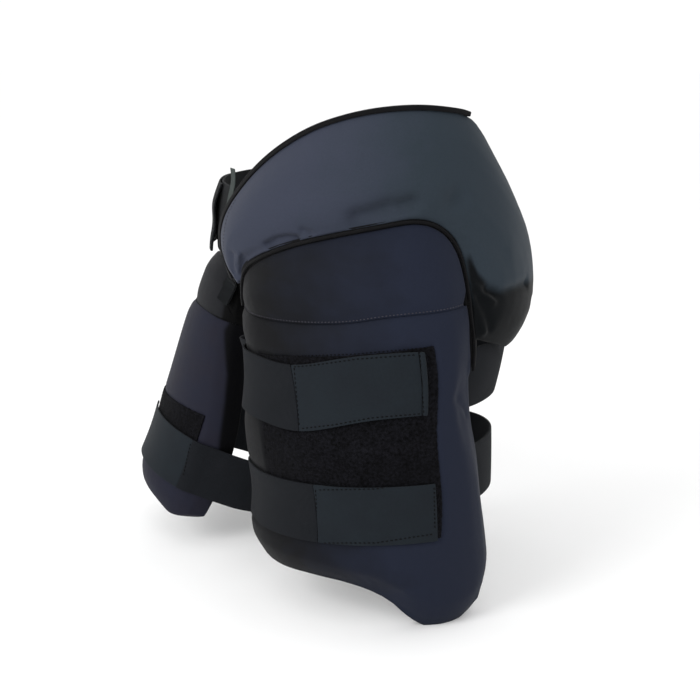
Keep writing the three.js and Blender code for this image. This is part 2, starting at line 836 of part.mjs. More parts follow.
// The link strap that hangs the inner guard from the belt: down the belt's face and on to the pad's top
function makeLinkStrap() {
  innerLeg.updateMatrixWorld(true);
  const overBelt = beltStandoff + beltThickness + clearance;
  const half = beltWidth / 2;
  const onPad = (row) => {
    const point = flatPoint(row, innerPadLength);
    const offset = innerFace(point) + row.over * linkThickness;
    return innerPoint(row.angle, point.y, offset).applyMatrix4(innerLeg.matrixWorld);
  };
  const middle = new THREE.CatmullRomCurve3([
    ...linkOnPad.map(onPad),
    waistPoint(linkAngle, -half * 1.15, overBelt + linkThickness),
    waistPoint(linkAngle, -half * 0.75, overBelt),
    waistPoint(linkAngle, -half * 0.15, overBelt),
  ]);
  const geometry = new THREE.BoxGeometry(1, 1, 1, 2, 16, 1);
  const position = geometry.attributes.position;
  const padTurn = THREE.MathUtils.degToRad(linkOnPad[0].angle);
  const offPad = new THREE.Vector3(Math.sin(padTurn), -Math.cos(padTurn), 0)
    .transformDirection(innerLeg.matrixWorld);
  const offBelt = new THREE.Vector3(0, -1, 0);
  for (let index = 0; index < position.count; index += 1) {
    const share = position.getY(index) + 0.5;
    const ahead = offPad.clone().lerp(offBelt, share).normalize();
    const side = middle.getTangentAt(share).cross(ahead).normalize();
    const place = middle.getPointAt(share)
      .addScaledVector(side, position.getX(index) * linkWidth)
      .addScaledVector(ahead, (position.getZ(index) + 0.5) * linkThickness);
    position.setXYZ(index, place.x, place.y, place.z);
  }
  geometry.computeVertexNormals();
  const mesh = new THREE.Mesh(geometry, new THREE.MeshStandardMaterial({ color: 0x17181b, roughness: 0.85 }));
  mesh.name = 'link_strap';
  return mesh;
}

guard.add(makeLinkStrap());

export default guard;
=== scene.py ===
"""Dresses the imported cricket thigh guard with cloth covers, elastic, loop pile, trim and stitching.

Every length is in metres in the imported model's own frame: +Z is up, the wearer looks along -Y, and the
wearer's left, where the large guard sits, is +X. Angles run in degrees round a leg, from its front (0)
past its outer side (90) to its back (180).
"""

import logging
import math
from dataclasses import dataclass
from enum import Enum

import bmesh
import bpy
import numpy as np
from mathutils import Euler, Matrix, Vector, noise
from mathutils.bvhtree import BVHTree

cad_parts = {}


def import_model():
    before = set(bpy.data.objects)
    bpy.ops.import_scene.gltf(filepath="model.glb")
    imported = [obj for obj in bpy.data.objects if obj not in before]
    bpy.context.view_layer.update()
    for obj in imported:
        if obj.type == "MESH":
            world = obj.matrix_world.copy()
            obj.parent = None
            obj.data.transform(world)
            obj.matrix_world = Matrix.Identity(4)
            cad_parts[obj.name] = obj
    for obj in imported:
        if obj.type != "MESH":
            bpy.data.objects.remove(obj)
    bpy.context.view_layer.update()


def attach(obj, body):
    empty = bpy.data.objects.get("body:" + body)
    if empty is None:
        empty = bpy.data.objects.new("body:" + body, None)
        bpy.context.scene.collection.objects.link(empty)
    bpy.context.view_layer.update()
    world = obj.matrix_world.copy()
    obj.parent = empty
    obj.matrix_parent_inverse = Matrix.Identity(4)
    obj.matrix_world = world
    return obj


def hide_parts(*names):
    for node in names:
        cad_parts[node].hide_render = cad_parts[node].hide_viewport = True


LOG = logging.getLogger("thigh_guard")
ROOT = "root"
FLAT = "flat_cloth"
# Point attribute holding painted shade from 0 to 1, which makes a cloth's colour darker
SHADE = "shade"
MM = 0.001
# Share of its lightness that a cloth loses under full painted shade
PAINTED_SHADE_DEPTH = 0.92
# Angle in radians below which a point counts as lying past the back of the leg
BACK_SEAM = -2.6
# Angles in degrees: up to which two triangles join to one face, and past which an edge is sharp
FLAT_JOIN = 40
PAD_SHARP = 35
BAND_SHARP = 50
# How far a face may look out of the leg and still show the lining: anywhere, and on the rim behind the trim
LINED = -0.35
RIM_LINED = 0.45
# Waves, tufts, mottles and broad swells a metre of cloth
WAVES = (30, 22)
TUFTS = 620
MOTTLES = 42
SWELLS = 26
# Reach and pull that draw one sewn piece to another
ARCH_SEAM = ("arch_piping", 0.0026, 0.0012)
PANEL_SEAM = (0.0012, 0.00028)
TAB_SEAM = (0.0022, 0.00095)


# Body form


@dataclass
class LegForm:
    """Oval sections up a leg that the guard lies on, read by angle and height.

    Attributes:
        rows: Height, middle across, middle forward, half width and half depth of each section.
        place: Matrix that carries the leg's own frame into the model's.
        pattern_radius: Radius at which an angle becomes a length of cloth.
        inner_side: Whether the side towards the other leg is cut off at the body's middle plane.
        samples: Number of heights at which the sections are read once and kept.
    """

    rows: tuple
    place: Matrix
    pattern_radius: float = 0.114
    inner_side: bool = False
    samples: int = 240

    def __post_init__(self) -> None:
        """Samples the sections finely once, so that reading them is quick."""
        rows = sorted(self.rows)
        heights = [row[0] for row in rows]
        self.fine_heights = np.linspace(heights[0], heights[-1], self.samples)
        self.fine_rows = np.array([self._blend(rows, heights, z) for z in self.fine_heights])
        self.inverse = np.array(self.place.inverted())

    @staticmethod
    def _blend(rows: list, heights: list, at: float) -> list:
        """Blends the rows smoothly at a height.

        Args:
            rows: The sections from the lowest up.
            heights: Their heights.
            at: The height to read.

        Returns:
            The blended columns after the height.
        """
        last = len(rows) - 1
        step = max(i for i in range(last) if heights[i] <= at or i == 0)
        span = heights[step + 1] - heights[step]
        share = (at - heights[step]) / span

        def slope(column: int, row: int) -> float:
            """Returns how fast a column changes at a row."""
            low, high = max(row - 1, 0), min(row + 1, last)
            return (rows[high][column] - rows[low][column]) / (heights[high] - heights[low])

        result = []
        for column in range(1, len(rows[0])):
            start, end = rows[step][column], rows[step + 1][column]
            square, cube = share**2, share**3
            result.append(
                (2 * cube - 3 * square + 1) * start
                + (cube - 2 * square + share) * span * slope(column, step)
                + (3 * square - 2 * cube) * end
                + (cube - square) * span * slope(column, step + 1)
            )
        return result

    def section(self, height: float) -> list[float]:
        """Returns the section's middle and half sizes at a height."""
        return [float(np.interp(height, self.fine_heights, column)) for column in self.fine_rows.T]

    def point(self, angle: float, height: float, offset: float) -> Vector:
        """Finds a point on the form.

        Args:
            angle: Degrees round the leg.
            height: Height in the leg's own frame.
            offset: Distance outside the body.

        Returns:
            The point in the model's frame.
        """
        across, forward, half_width, half_depth = self.section(height)
        turn = math.radians(angle)
        reach = half_width
        if self.inner_side and math.sin(turn) < 0:
            reach = min(across - MM, half_width)
        x = across + (reach + offset) * math.sin(turn)
        y = forward - (half_depth + offset) * math.cos(turn)
        return self.place @ Vector((x, y, height))

    def outward(self, angle: float, height: float) -> Vector:
        """Returns the level direction that leads out of the leg at an angle."""
        return (self.point(angle, height, 0.1) - self.point(angle, height, 0)).normalized()

    def flat(self, points: np.ndarray) -> np.ndarray:
        """Lays points out as flat cloth.

        Args:
            points: Points in the model's frame, one a row.

        Returns:
            Length round the leg, height and distance outside the body, one row a point.
        """
        local = points @ self.inverse[:3, :3].T + self.inverse[:3, 3]
        read = [np.interp(local[:, 2], self.fine_heights, column) for column in self.fine_rows.T]
        east = (local[:, 0] - read[0]) / read[2]
        north = -(local[:, 1] - read[1]) / read[3]
        angle = np.arctan2(east, north)
        angle = np.where(angle < BACK_SEAM, angle + 2 * math.pi, angle)
        outside = (np.hypot(east, north) - 1) * (read[2] + read[3]) / 2
        return np.stack([angle * self.pattern_radius, local[:, 2], outside], axis=1)

    def out_of(self, points: np.ndarray) -> np.ndarray:
        """Finds the level direction that leads out of the leg at each point.

        Args:
            points: Points in the model's frame, one a row.

        Returns:
            The directions, one row a point.
        """
        angles = self.flat(points)[:, 0] / self.pattern_radius
        return np.stack([np.sin(angles), -np.cos(angles), np.zeros(len(angles))], axis=1)


GUARD_HEIGHT = 0.424
INNER_LENGTH = 0.246
THIGH = (0.089, 0.099)
WAIST = (0.152, 0.122)
THIGH_SPREAD = 0.09
THIGH_FORWARD = 0.019
# Distance of the pads' backs outside the left leg
PAD_BACK = 0.0052
# Degrees that the stride turns the right thigh forward and aside
INNER_TILT = (-18, 7)
# Origin of the right thigh's form, as shares of the spread, the step forward and the height
INNER_SPOT = (-0.97, -0.05, -0.166)

# Height, share of leg, width, depth and step forward of each section, as shares of the sizes above
BODY_SECTIONS = (
    (0.31, 0, 0.91, 0.76, 0),
    (0.142, 0, 0.955, 0.885, 0),
    (0, 0, 1, 1, 0),
    (-0.118, 0.25, 1.04, 1.015, 0),
    (-0.236, 0.69, 1, 1.01, 0.3),
    (-0.354, 0.93, 1, 0.985, 1.03),
    (-0.495, 1, 1, 0.96, 0.95),
    (-0.684, 1, 0.966, 0.95, 0.95),
    (-0.92, 1, 0.91, 0.91, 0.9),
)
# Height as a share of the inner guard's length, and width and depth as shares of the thigh's
INNER_SECTIONS = ((0.1, 0.944, 0.88), (-0.3, 0.962, 0.915), (-0.65, 0.952, 0.9), (-1.1, 0.935, 0.925))
# Height, middle, half width and half depth of the waist's sections
WAIST_SECTIONS = ((-0.05, 0, 0, 0.155, 0.126), (0, 0, 0, *WAIST), (0.06, 0, 0, 0.145, 0.108))


def body_row(height: float, leg: float, wide: float, deep: float, forward: float) -> tuple:
    """Turns a row of shares into lengths.

    Args:
        height: Share of the guard's height.
        leg: How far the section belongs to the thigh.
        wide: Share of the half width.
        deep: Share of the half depth.
        forward: Share of the thigh's step forward.

    Returns:
        Height, middle across, middle forward, half width and half depth.
    """
    half_width = (WAIST[0] + (THIGH[0] - WAIST[0]) * leg) * wide
    half_depth = (WAIST[1] + (THIGH[1] - WAIST[1]) * leg) * deep
    return (height * GUARD_HEIGHT, leg * THIGH_SPREAD, -forward * THIGH_FORWARD, half_width, half_depth)


def left_form() -> LegForm:
    """Builds the form of the wearer's left thigh and hip."""
    return LegForm(tuple(body_row(*row) for row in BODY_SECTIONS), Matrix(), inner_side=True)


def right_form() -> LegForm:
    """Builds the form of the wearer's right thigh, tilted as the stride tilts it.

    Returns:
        The form.
    """
    rows = tuple((h * INNER_LENGTH, 0, 0, THIGH[0] * w, THIGH[1] * d) for h, w, d in INNER_SECTIONS)
    forward, aside = (math.radians(tilt) for tilt in INNER_TILT)
    turn = Euler((forward, aside, 0), "XYZ").to_matrix().to_4x4()
    sizes = (THIGH_SPREAD, THIGH_FORWARD, GUARD_HEIGHT)
    spot = Vector([share * size for share, size in zip(INNER_SPOT, sizes)])
    return LegForm(rows, Matrix.Translation(spot) @ turn)


def waist_form() -> LegForm:
    """Builds the form of the waist, which the belt lies on."""
    return LegForm(WAIST_SECTIONS, Matrix(), pattern_radius=0.137)


@dataclass
class Line:
    """A smooth line of angles and heights, drawn on a form.

    Attributes:
        form: The leg that the line is drawn on.
        rows: Angle and height of each point, heights as shares of the length.
        length: The length that heights are shares of.
        steps: Fine steps between two rows.
    """

    form: LegForm
    rows: tuple
    length: float = GUARD_HEIGHT
    steps: int = 24

    def spaced(self, pitch: float, start: float = 0, end: float = 1, aside: float = 0) -> list[tuple]:
        """Reads the line at even steps along the cloth.

        Args:
            pitch: Distance between the points.
            start: Share of the line where reading starts.
            end: Share of the line where it ends.
            aside: Distance to the left of the line's run.

        Returns:
            Angle and height of each point.
        """
        arc = math.radians(self.form.pattern_radius)
        flat = np.array([(angle * arc, share * self.length) for angle, share in self.rows])
        padded = np.vstack([flat[0], flat, flat[-1]])
        fine = []
        for step in range(len(flat) - 1):
            p0, p1, p2, p3 = padded[step : step + 4]
            for share in np.linspace(0, 1, self.steps, endpoint=False):
                bend = 2 * p1 + (p2 - p0) * share + (2 * p0 - 5 * p1 + 4 * p2 - p3) * share**2
                fine.append((bend + (3 * p1 - p0 - 3 * p2 + p3) * share**3) / 2)
        fine = np.array([*fine, flat[-1]])
        run = np.concatenate([[0], np.cumsum(np.linalg.norm(np.diff(fine, axis=0), axis=1))])
        count = max(2, round((end - start) * run[-1] / pitch) + 1)
        at = np.linspace(start * run[-1], end * run[-1], count)
        placed = np.stack([np.interp(at, run, fine[:, 0]), np.interp(at, run, fine[:, 1])], axis=1)
        way = np.gradient(placed, axis=0)
        way /= np.linalg.norm(way, axis=1, keepdims=True) + 1e-12
        placed += aside * np.stack([-way[:, 1], way[:, 0]], axis=1)
        return [(x / arc, y) for x, y in placed]


# Finishes


class Weave(Enum):
    """How a cloth's threads run."""

    KNIT = "knit"
    RIBBED = "ribbed"
    PILE = "pile"
    TWILL = "twill"


@dataclass(frozen=True)
class Finish:
    """A procedural cloth finish.

    Attributes:
        name: The material's name.
        colour: Main colour, linear.
        second: Colour that the mottling fades to, linear; with a painted light run, also the colour at its
            far end.
        weave: How the threads run.
        pitch: Distance between threads or ribs.
        relief: Depth of the threads in the bump.
        roughness: Mean roughness.
        sheen: Weight of the cloth sheen.
        grain: How strongly single threads differ in lightness.
        drape: Depth of the broad soft unevenness of the cloth.
        painted_light_run: Lengths round the leg between which the main colour gives way to the second, if
            it does; painted light and shade.
    """

    name: str
    colour: tuple
    second: tuple
    weave: Weave
    pitch: float = 0.0008
    relief: float = 0.00012
    roughness: float = 0.7
    sheen: float = 0.15
    grain: float = 0.2
    drape: float = 0.0006
    painted_light_run: tuple = ()

    def make(self) -> bpy.types.Material:
        """Builds the finish's material.

        Returns:
            The material, which reads the flat cloth coordinates.
        """
        material = bpy.data.materials.new(self.name)
        material.use_nodes = True
        graph = Graph(material)
        cloth = graph.add("ShaderNodeAttribute")
        cloth.attribute_name = FLAT
        where = cloth.outputs["Vector"]
        threads = self._threads(graph, where)
        mottle = graph.noise(where, MOTTLES, 3)
        speck = graph.noise(where, 0.55 / self.pitch, 2)
        shade = graph.ramp(self._spread(graph, where, mottle), 0.3, 0.7, self.colour, self.second)
        lightness = graph.maths("MULTIPLY_ADD", speck, 2 * self.grain, 1 - self.grain)
        groove = graph.maths("MULTIPLY_ADD", threads, 0.5 * self.grain, 1 - 0.25 * self.grain)
        # Painted shade: the colour is scaled down where the points carry the shade attribute
        dark = graph.add("ShaderNodeAttribute")
        dark.attribute_name = SHADE
        unshaded = graph.maths("MULTIPLY_ADD", dark.outputs["Fac"], -PAINTED_SHADE_DEPTH, 1)
        light = graph.maths("MULTIPLY", graph.maths("MULTIPLY", lightness, groove), unshaded)
        coloured = graph.scale(shade, light)
        shader = graph.shader
        graph.link(coloured, shader.inputs["Base Color"])
        rough = graph.maths("MULTIPLY_ADD", speck, 0.16, self.roughness - 0.08)
        graph.link(rough, shader.inputs["Roughness"])
        shader.inputs["Specular IOR Level"].default_value = 0.06
        shader.inputs["Sheen Weight"].default_value = self.sheen
        shader.inputs["Sheen Roughness"].default_value = 0.45
        broad = graph.bump(graph.noise(where, SWELLS, 3), self.drape)
        fine = graph.bump(threads, self.relief, broad)
        graph.link(fine, shader.inputs["Normal"])
        return material

    def _spread(
        self, graph: "Graph", where: bpy.types.NodeSocket, mottle: bpy.types.NodeSocket
    ) -> bpy.types.NodeSocket:
        """Works out how far the second colour has taken over, from the mottling and, as painted light and
        shade, from the place round the leg.

        Args:
            graph: The material's graph.
            where: Flat cloth coordinates.
            mottle: Soft noise.

        Returns:
            The socket that gives the share.
        """
        if not self.painted_light_run:
            return mottle
        start, end = self.painted_light_run
        split = graph.add("ShaderNodeSeparateXYZ")
        graph.link(where, split.inputs[0])
        rise = 0.6 / (end - start)
        along = graph.maths("MULTIPLY_ADD", split.outputs[0], rise, 0.05 - rise * start)
        return graph.maths("MULTIPLY_ADD", mottle, 0.3, along)

    def _threads(self, graph: "Graph", where: bpy.types.NodeSocket) -> bpy.types.NodeSocket:
        """Draws the threads as heights from 0 to 1.

        Args:
            graph: The material's graph.
            where: Flat cloth coordinates.

        Returns:
            The socket that gives the height.
        """
        if self.weave is Weave.PILE:
            return graph.noise(where, 1 / self.pitch, 4)
        along = graph.wave(where, "X", self.pitch)
        if self.weave is Weave.RIBBED:
            return graph.maths("MULTIPLY_ADD", graph.wave(where, "Y", self.pitch * 0.7), 0.25, along)
        if self.weave is Weave.TWILL:
            return graph.wave(where, "DIAGONAL", self.pitch)
        return graph.maths("MULTIPLY", along, graph.wave(where, "Y", self.pitch))


class Graph:
    """Short ways to add and join a material's nodes."""

    def __init__(self, material: bpy.types.Material) -> None:
        """Takes the material's node tree and finds its main shader."""
        self.tree = material.node_tree
        self.shader = next(n for n in self.tree.nodes if n.type == "BSDF_PRINCIPLED")

    def add(self, kind: str) -> bpy.types.Node:
        """Adds a node of a kind."""
        return self.tree.nodes.new(kind)

    def link(self, out: bpy.types.NodeSocket, into: bpy.types.NodeSocket) -> None:
        """Joins two sockets."""
        self.tree.links.new(out, into)

    def noise(self, where: bpy.types.NodeSocket, scale: float, detail: float) -> bpy.types.NodeSocket:
        """Adds a noise and returns its value.

        Args:
            where: Coordinates.
            scale: Bumps a metre.
            detail: Levels of finer noise.

        Returns:
            The value's socket.
        """
        node = self.add("ShaderNodeTexNoise")
        node.inputs["Scale"].default_value = scale
        node.inputs["Detail"].default_value = detail
        self.link(where, node.inputs["Vector"])
        return node.outputs[0]

    def wave(self, where: bpy.types.NodeSocket, way: str, pitch: float) -> bpy.types.NodeSocket:
        """Adds even bands and returns their height.

        Args:
            where: Coordinates.
            way: Direction across the bands.
            pitch: Distance from band to band.

        Returns:
            The height's socket.
        """
        node = self.add("ShaderNodeTexWave")
        node.bands_direction = way
        node.inputs["Scale"].default_value = math.pi / (10 * pitch)
        node.inputs["Distortion"].default_value = 0.6
        node.inputs["Detail Scale"].default_value = 3
        self.link(where, node.inputs["Vector"])
        return node.outputs["Fac"]

    def maths(
        self, operation: str, value: bpy.types.NodeSocket, second: object, third: float = 0
    ) -> bpy.types.NodeSocket:
        """Adds a sum on sockets or numbers.

        Args:
            operation: The Math node's operation.
            value: First socket.
            second: Second socket or number.
            third: Third number.

        Returns:
            The result's socket.
        """
        node = self.add("ShaderNodeMath")
        node.operation = operation
        for index, entry in enumerate((value, second, third)):
            if isinstance(entry, bpy.types.NodeSocket):
                self.link(entry, node.inputs[index])
            else:
                node.inputs[index].default_value = entry
        return node.outputs[0]

    def ramp(
        self, value: bpy.types.NodeSocket, low: float, high: float, first: tuple, second: tuple
    ) -> bpy.types.NodeSocket:
        """Fades from one colour to another.

        Args:
            value: What drives the fade.
            low: Value of the first colour.
            high: Value of the second.
            first: First colour.
            second: Second colour.

        Returns:
            The colour's socket.
        """
        node = self.add("ShaderNodeValToRGB")
        ends = node.color_ramp.elements
        ends[0].position, ends[1].position = low, high
        ends[0].color, ends[1].color = (*first, 1), (*second, 1)
        self.link(value, node.inputs["Fac"])
        return node.outputs["Color"]

    def scale(self, colour: bpy.types.NodeSocket, factor: bpy.types.NodeSocket) -> bpy.types.NodeSocket:
        """Makes a colour lighter or darker by a factor.

        Args:
            colour: The colour's socket.
            factor: The factor's socket.

        Returns:
            The new colour's socket.
        """
        node = self.add("ShaderNodeVectorMath")
        node.operation = "SCALE"
        self.link(colour, node.inputs[0])
        self.link(factor, node.inputs["Scale"])
        return node.outputs[0]

    def bump(
        self, height: bpy.types.NodeSocket, depth: float, below: bpy.types.NodeSocket | None = None
    ) -> bpy.types.NodeSocket:
        """Turns a height into a bent normal.

        Args:
            height: Height from 0 to 1.
            depth: Its depth.
            below: A normal to add it to.

        Returns:
            The normal's socket.
        """
        node = self.add("ShaderNodeBump")
        node.inputs["Strength"].default_value = 1
        node.inputs["Distance"].default_value = depth
        self.link(height, node.inputs["Height"])
        if below is not None:
            self.link(below, node.inputs["Normal"])
        return node.outputs["Normal"]


# Lighter slate at the front turning darker and greener round the outer side: painted light and shade
HIP_CLOTH = Finish(
    "slate_hip_cloth", (0.0325, 0.0375, 0.0565), (0.0225, 0.031, 0.0405), Weave.KNIT,
    pitch=0.0007, relief=0.00008, roughness=0.62, sheen=0.05, grain=0.12, drape=0.0007, painted_light_run=(0.06, 0.19),
)
# Near-black charcoal at the front turning to lighter navy round the outer side: painted light
THIGH_CLOTH = Finish(
    "navy_thigh_cloth", (0.0048, 0.005, 0.006), (0.0115, 0.0145, 0.0265), Weave.KNIT,
    pitch=0.0007, relief=0.00008, roughness=0.62, sheen=0.02, grain=0.12, drape=0.0005, painted_light_run=(0.02, 0.17),
)
CROWN_CLOTH = Finish(
    "charcoal_crown_cloth", (0.0108, 0.0112, 0.0136), (0.0092, 0.0098, 0.0118), Weave.KNIT,
    pitch=0.0007, relief=0.00008, roughness=0.66, sheen=0.03, grain=0.12, drape=0.0005,
)
INNER_CLOTH = Finish(
    "plum_navy_cloth", (0.014, 0.0138, 0.0222), (0.0125, 0.0138, 0.0242), Weave.KNIT,
    pitch=0.0007, relief=0.00008, roughness=0.64, sheen=0.03, grain=0.12, drape=0.0005,
)
LINING = Finish(
    "grey_green_lining", (0.022, 0.028, 0.028), (0.016, 0.021, 0.022), Weave.TWILL,
    pitch=0.0016, relief=0.00025, roughness=0.85, sheen=0.03, grain=0.35, drape=0.0004,
)
LOOP_PILE = Finish(
    "black_loop_pile", (0.0024, 0.0024, 0.0032), (0.0042, 0.0042, 0.0056), Weave.PILE,
    pitch=0.0012, relief=0.0012, roughness=0.9, sheen=0.01, grain=1.9, drape=0.0003,
)
ELASTIC = Finish(
    "charcoal_elastic", (0.0085, 0.0095, 0.0118), (0.0072, 0.0084, 0.0104), Weave.RIBBED,
    pitch=0.0011, relief=0.00022, roughness=0.78, sheen=0.02, grain=0.25, drape=0.0003,
)
TAB_CLOTH = Finish(
    "teal_charcoal_tab", (0.0105, 0.0142, 0.018), (0.0095, 0.0122, 0.0158), Weave.KNIT,
    pitch=0.0008, relief=0.0001, roughness=0.7, sheen=0.04, grain=0.2, drape=0.0003,
)
WEBBING = Finish(
    "black_webbing", (0.0065, 0.0075, 0.0085), (0.0045, 0.005, 0.006), Weave.TWILL,
    pitch=0.0018, relief=0.0004, roughness=0.8, sheen=0.03, grain=0.3, drape=0.0004,
)
PULL_TAPE = Finish(
    "grey_green_pull_tape", (0.042, 0.052, 0.049), (0.03, 0.038, 0.036), Weave.RIBBED,
    pitch=0.0012, relief=0.0002, roughness=0.75, sheen=0.05, grain=0.25, drape=0.0002,
)
BINDING = Finish(
    "black_binding", (0.0028, 0.0028, 0.0034), (0.0045, 0.0045, 0.0052), Weave.TWILL,
    pitch=0.0009, relief=0.0002, roughness=0.6, sheen=0.04, grain=0.25, drape=0.0002,
)
PALE_THREAD = Finish(
    "lilac_grey_thread", (0.05, 0.048, 0.06), (0.038, 0.037, 0.046), Weave.TWILL,
    pitch=0.0004, relief=0.00008, roughness=0.6, sheen=0.05, grain=0.2, drape=0.0001,
)
DARK_THREAD = Finish(
    "black_thread", (0.0016, 0.0016, 0.002), (0.0028, 0.0028, 0.0032), Weave.TWILL,
    pitch=0.0004, relief=0.00008, roughness=0.6, sheen=0.02, grain=0.2, drape=0.0001,
)


class Cupboard:
    """Makes each finish's material once."""

    made: dict[str, bpy.types.Material] = {}

    @classmethod
    def take(cls, finish: Finish) -> bpy.types.Material:
        """Takes a finish's material, made the first time it is asked for.

        Args:
            finish: The finish.

        Returns:
            Its material.
        """
        if finish.name not in cls.made:
            cls.made[finish.name] = finish.make()
        return cls.made[finish.name]


# Shared ways to make and finish a piece


def points_of(mesh: bpy.types.Mesh) -> np.ndarray:
    """Reads a mesh's points.

    Args:
        mesh: The mesh.

    Returns:
        The points, one a row.
    """
    flat = np.zeros(len(mesh.vertices) * 3)
    mesh.vertices.foreach_get("co", flat)
    return flat.reshape(-1, 3)


def normals_of(mesh: bpy.types.Mesh) -> np.ndarray:
    """Reads the normal at each of a mesh's points.

    Args:
        mesh: The mesh.

    Returns:
        The normals, one a row.
    """
    flat = np.zeros(len(mesh.vertices) * 3)
    mesh.vertex_normals.foreach_get("vector", flat)
    return flat.reshape(-1, 3)


def move_points(mesh: bpy.types.Mesh, points: np.ndarray) -> None:
    """Sets a mesh's points."""
    mesh.vertices.foreach_set("co", points.astype(np.float32).ravel())
    mesh.update()


def tree_of(*pieces: bpy.types.Object) -> BVHTree:
    """Builds one search tree over several objects' meshes.

    Args:
        pieces: The objects.

    Returns:
        The tree.
    """
    points, faces = [], []
    for piece in pieces:
        shift = len(points)
        points.extend(v.co.copy() for v in piece.data.vertices)
        faces.extend([i + shift for i in p.vertices] for p in piece.data.polygons)
    return BVHTree.FromPolygons(points, faces)


def settle(piece: bpy.types.Object) -> None:
    """Applies all modifiers of a piece to its mesh.

    Args:
        piece: The piece.
    """
    graph = bpy.context.evaluated_depsgraph_get()
    mesh = bpy.data.meshes.new_from_object(piece.evaluated_get(graph))
    old = piece.data
    piece.modifiers.clear()
    piece.data = mesh
    bpy.data.meshes.remove(old)


def object_from(work: bmesh.types.BMesh, name: str) -> bpy.types.Object:
    """Makes a finished bmesh an object in the scene.

    Args:
        work: The bmesh, which is freed.
        name: The piece's name.

    Returns:
        The new object.
    """
    mesh = bpy.data.meshes.new(name)
    work.to_mesh(mesh)
    work.free()
    piece = bpy.data.objects.new(name, mesh)
    bpy.context.scene.collection.objects.link(piece)
    return piece


def merged_copy(node: str) -> bmesh.types.BMesh:
    """Copies a CAD node's mesh and joins its loose triangles.

    Args:
        node: The node's name.

    Returns:
        The copy as a bmesh.
    """
    work = bmesh.new()
    work.from_mesh(bpy.data.objects[node].data)
    bmesh.ops.remove_doubles(work, verts=work.verts, dist=0.00002)
    bmesh.ops.recalc_face_normals(work, faces=work.faces)
    return work


def join_flat(work: bmesh.types.BMesh) -> None:
    """Joins a bmesh's triangles to larger faces where they lie nearly flat."""
    bmesh.ops.join_triangles(work, faces=work.faces, angle_face_threshold=math.radians(FLAT_JOIN),
                             angle_shape_threshold=math.pi)


def sharp_edges(work: bmesh.types.BMesh, least: float) -> list[bmesh.types.BMEdge]:
    """Lists the edges at which two faces meet sharply.

    Args:
        work: The bmesh.
        least: Angle in degrees past which an edge is sharp.

    Returns:
        The edges.
    """
    limit = math.radians(least)
    return [edge for edge in work.edges if len(edge.link_faces) == 2 and edge.calc_face_angle() > limit]


def subdivide(piece: bpy.types.Object, levels: int = 1, kind: str = "CATMULL_CLARK") -> None:
    """Subdivides a piece and keeps the result as its mesh.

    Args:
        piece: The piece.
        levels: Levels of subdivision.
        kind: Smooth by default, or SIMPLE to halve the edges only.
    """
    divided = piece.modifiers.new("Subdivision", "SUBSURF")
    divided.subdivision_type = kind
    divided.levels = divided.render_levels = levels
    settle(piece)


def draw_to(points: np.ndarray, node: str, reach: float, pull: float) -> None:
    """Draws the points near a CAD node towards it.

    Args:
        points: The points, one a row, which are moved.
        node: The node that they are sewn to.
        reach: Distance within which points are drawn.
        pull: How far they move.
    """
    tree = tree_of(bpy.data.objects[node])
    for index, point in enumerate(points):
        near, _, _, gap = tree.find_nearest(Vector(point), reach)
        if near is not None and gap > 1e-6:
            share = min(1, 2 * (reach - gap) / reach)
            points[index] += (np.array(near) - point) / gap * min(pull * share, gap)


def dress(piece: bpy.types.Object, form: LegForm, *finishes: Finish) -> None:
    """Gives a piece its flat cloth coordinates, smooth faces and materials.

    Args:
        piece: The piece.
        form: The leg that its cloth is laid out round.
        finishes: Its finishes, the main one first.
    """
    mesh = piece.data
    layer = mesh.attributes.get(FLAT) or mesh.attributes.new(FLAT, "FLOAT_VECTOR", "POINT")
    layer.data.foreach_set("vector", form.flat(points_of(mesh)).astype(np.float32).ravel())
    mesh.polygons.foreach_set("use_smooth", [True] * len(mesh.polygons))
    mesh.materials.clear()
    for finish in finishes:
        mesh.materials.append(Cupboard.take(finish))


def hand_over(piece: bpy.types.Object, slot: str, *nodes: str) -> None:
    """Puts a finished piece on the body in place of its CAD nodes.

    Args:
        piece: The piece.
        slot: The record's material slot; not used.
        nodes: The CAD nodes that it stands for.
    """
    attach(piece, ROOT)
    if nodes:
        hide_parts(*nodes)
    LOG.info("%s: %d faces", piece.name, len(piece.data.polygons))


# Padding


@dataclass
class Relief:
    """A crease, fold or dent pressed into a pad along a few spots.

    Attributes:
        spots: Photograph points that the relief runs through.
        width: Its half width.
        depth: How deep it goes, below zero for a raised fold.
    """

    spots: tuple
    width: float
    depth: float


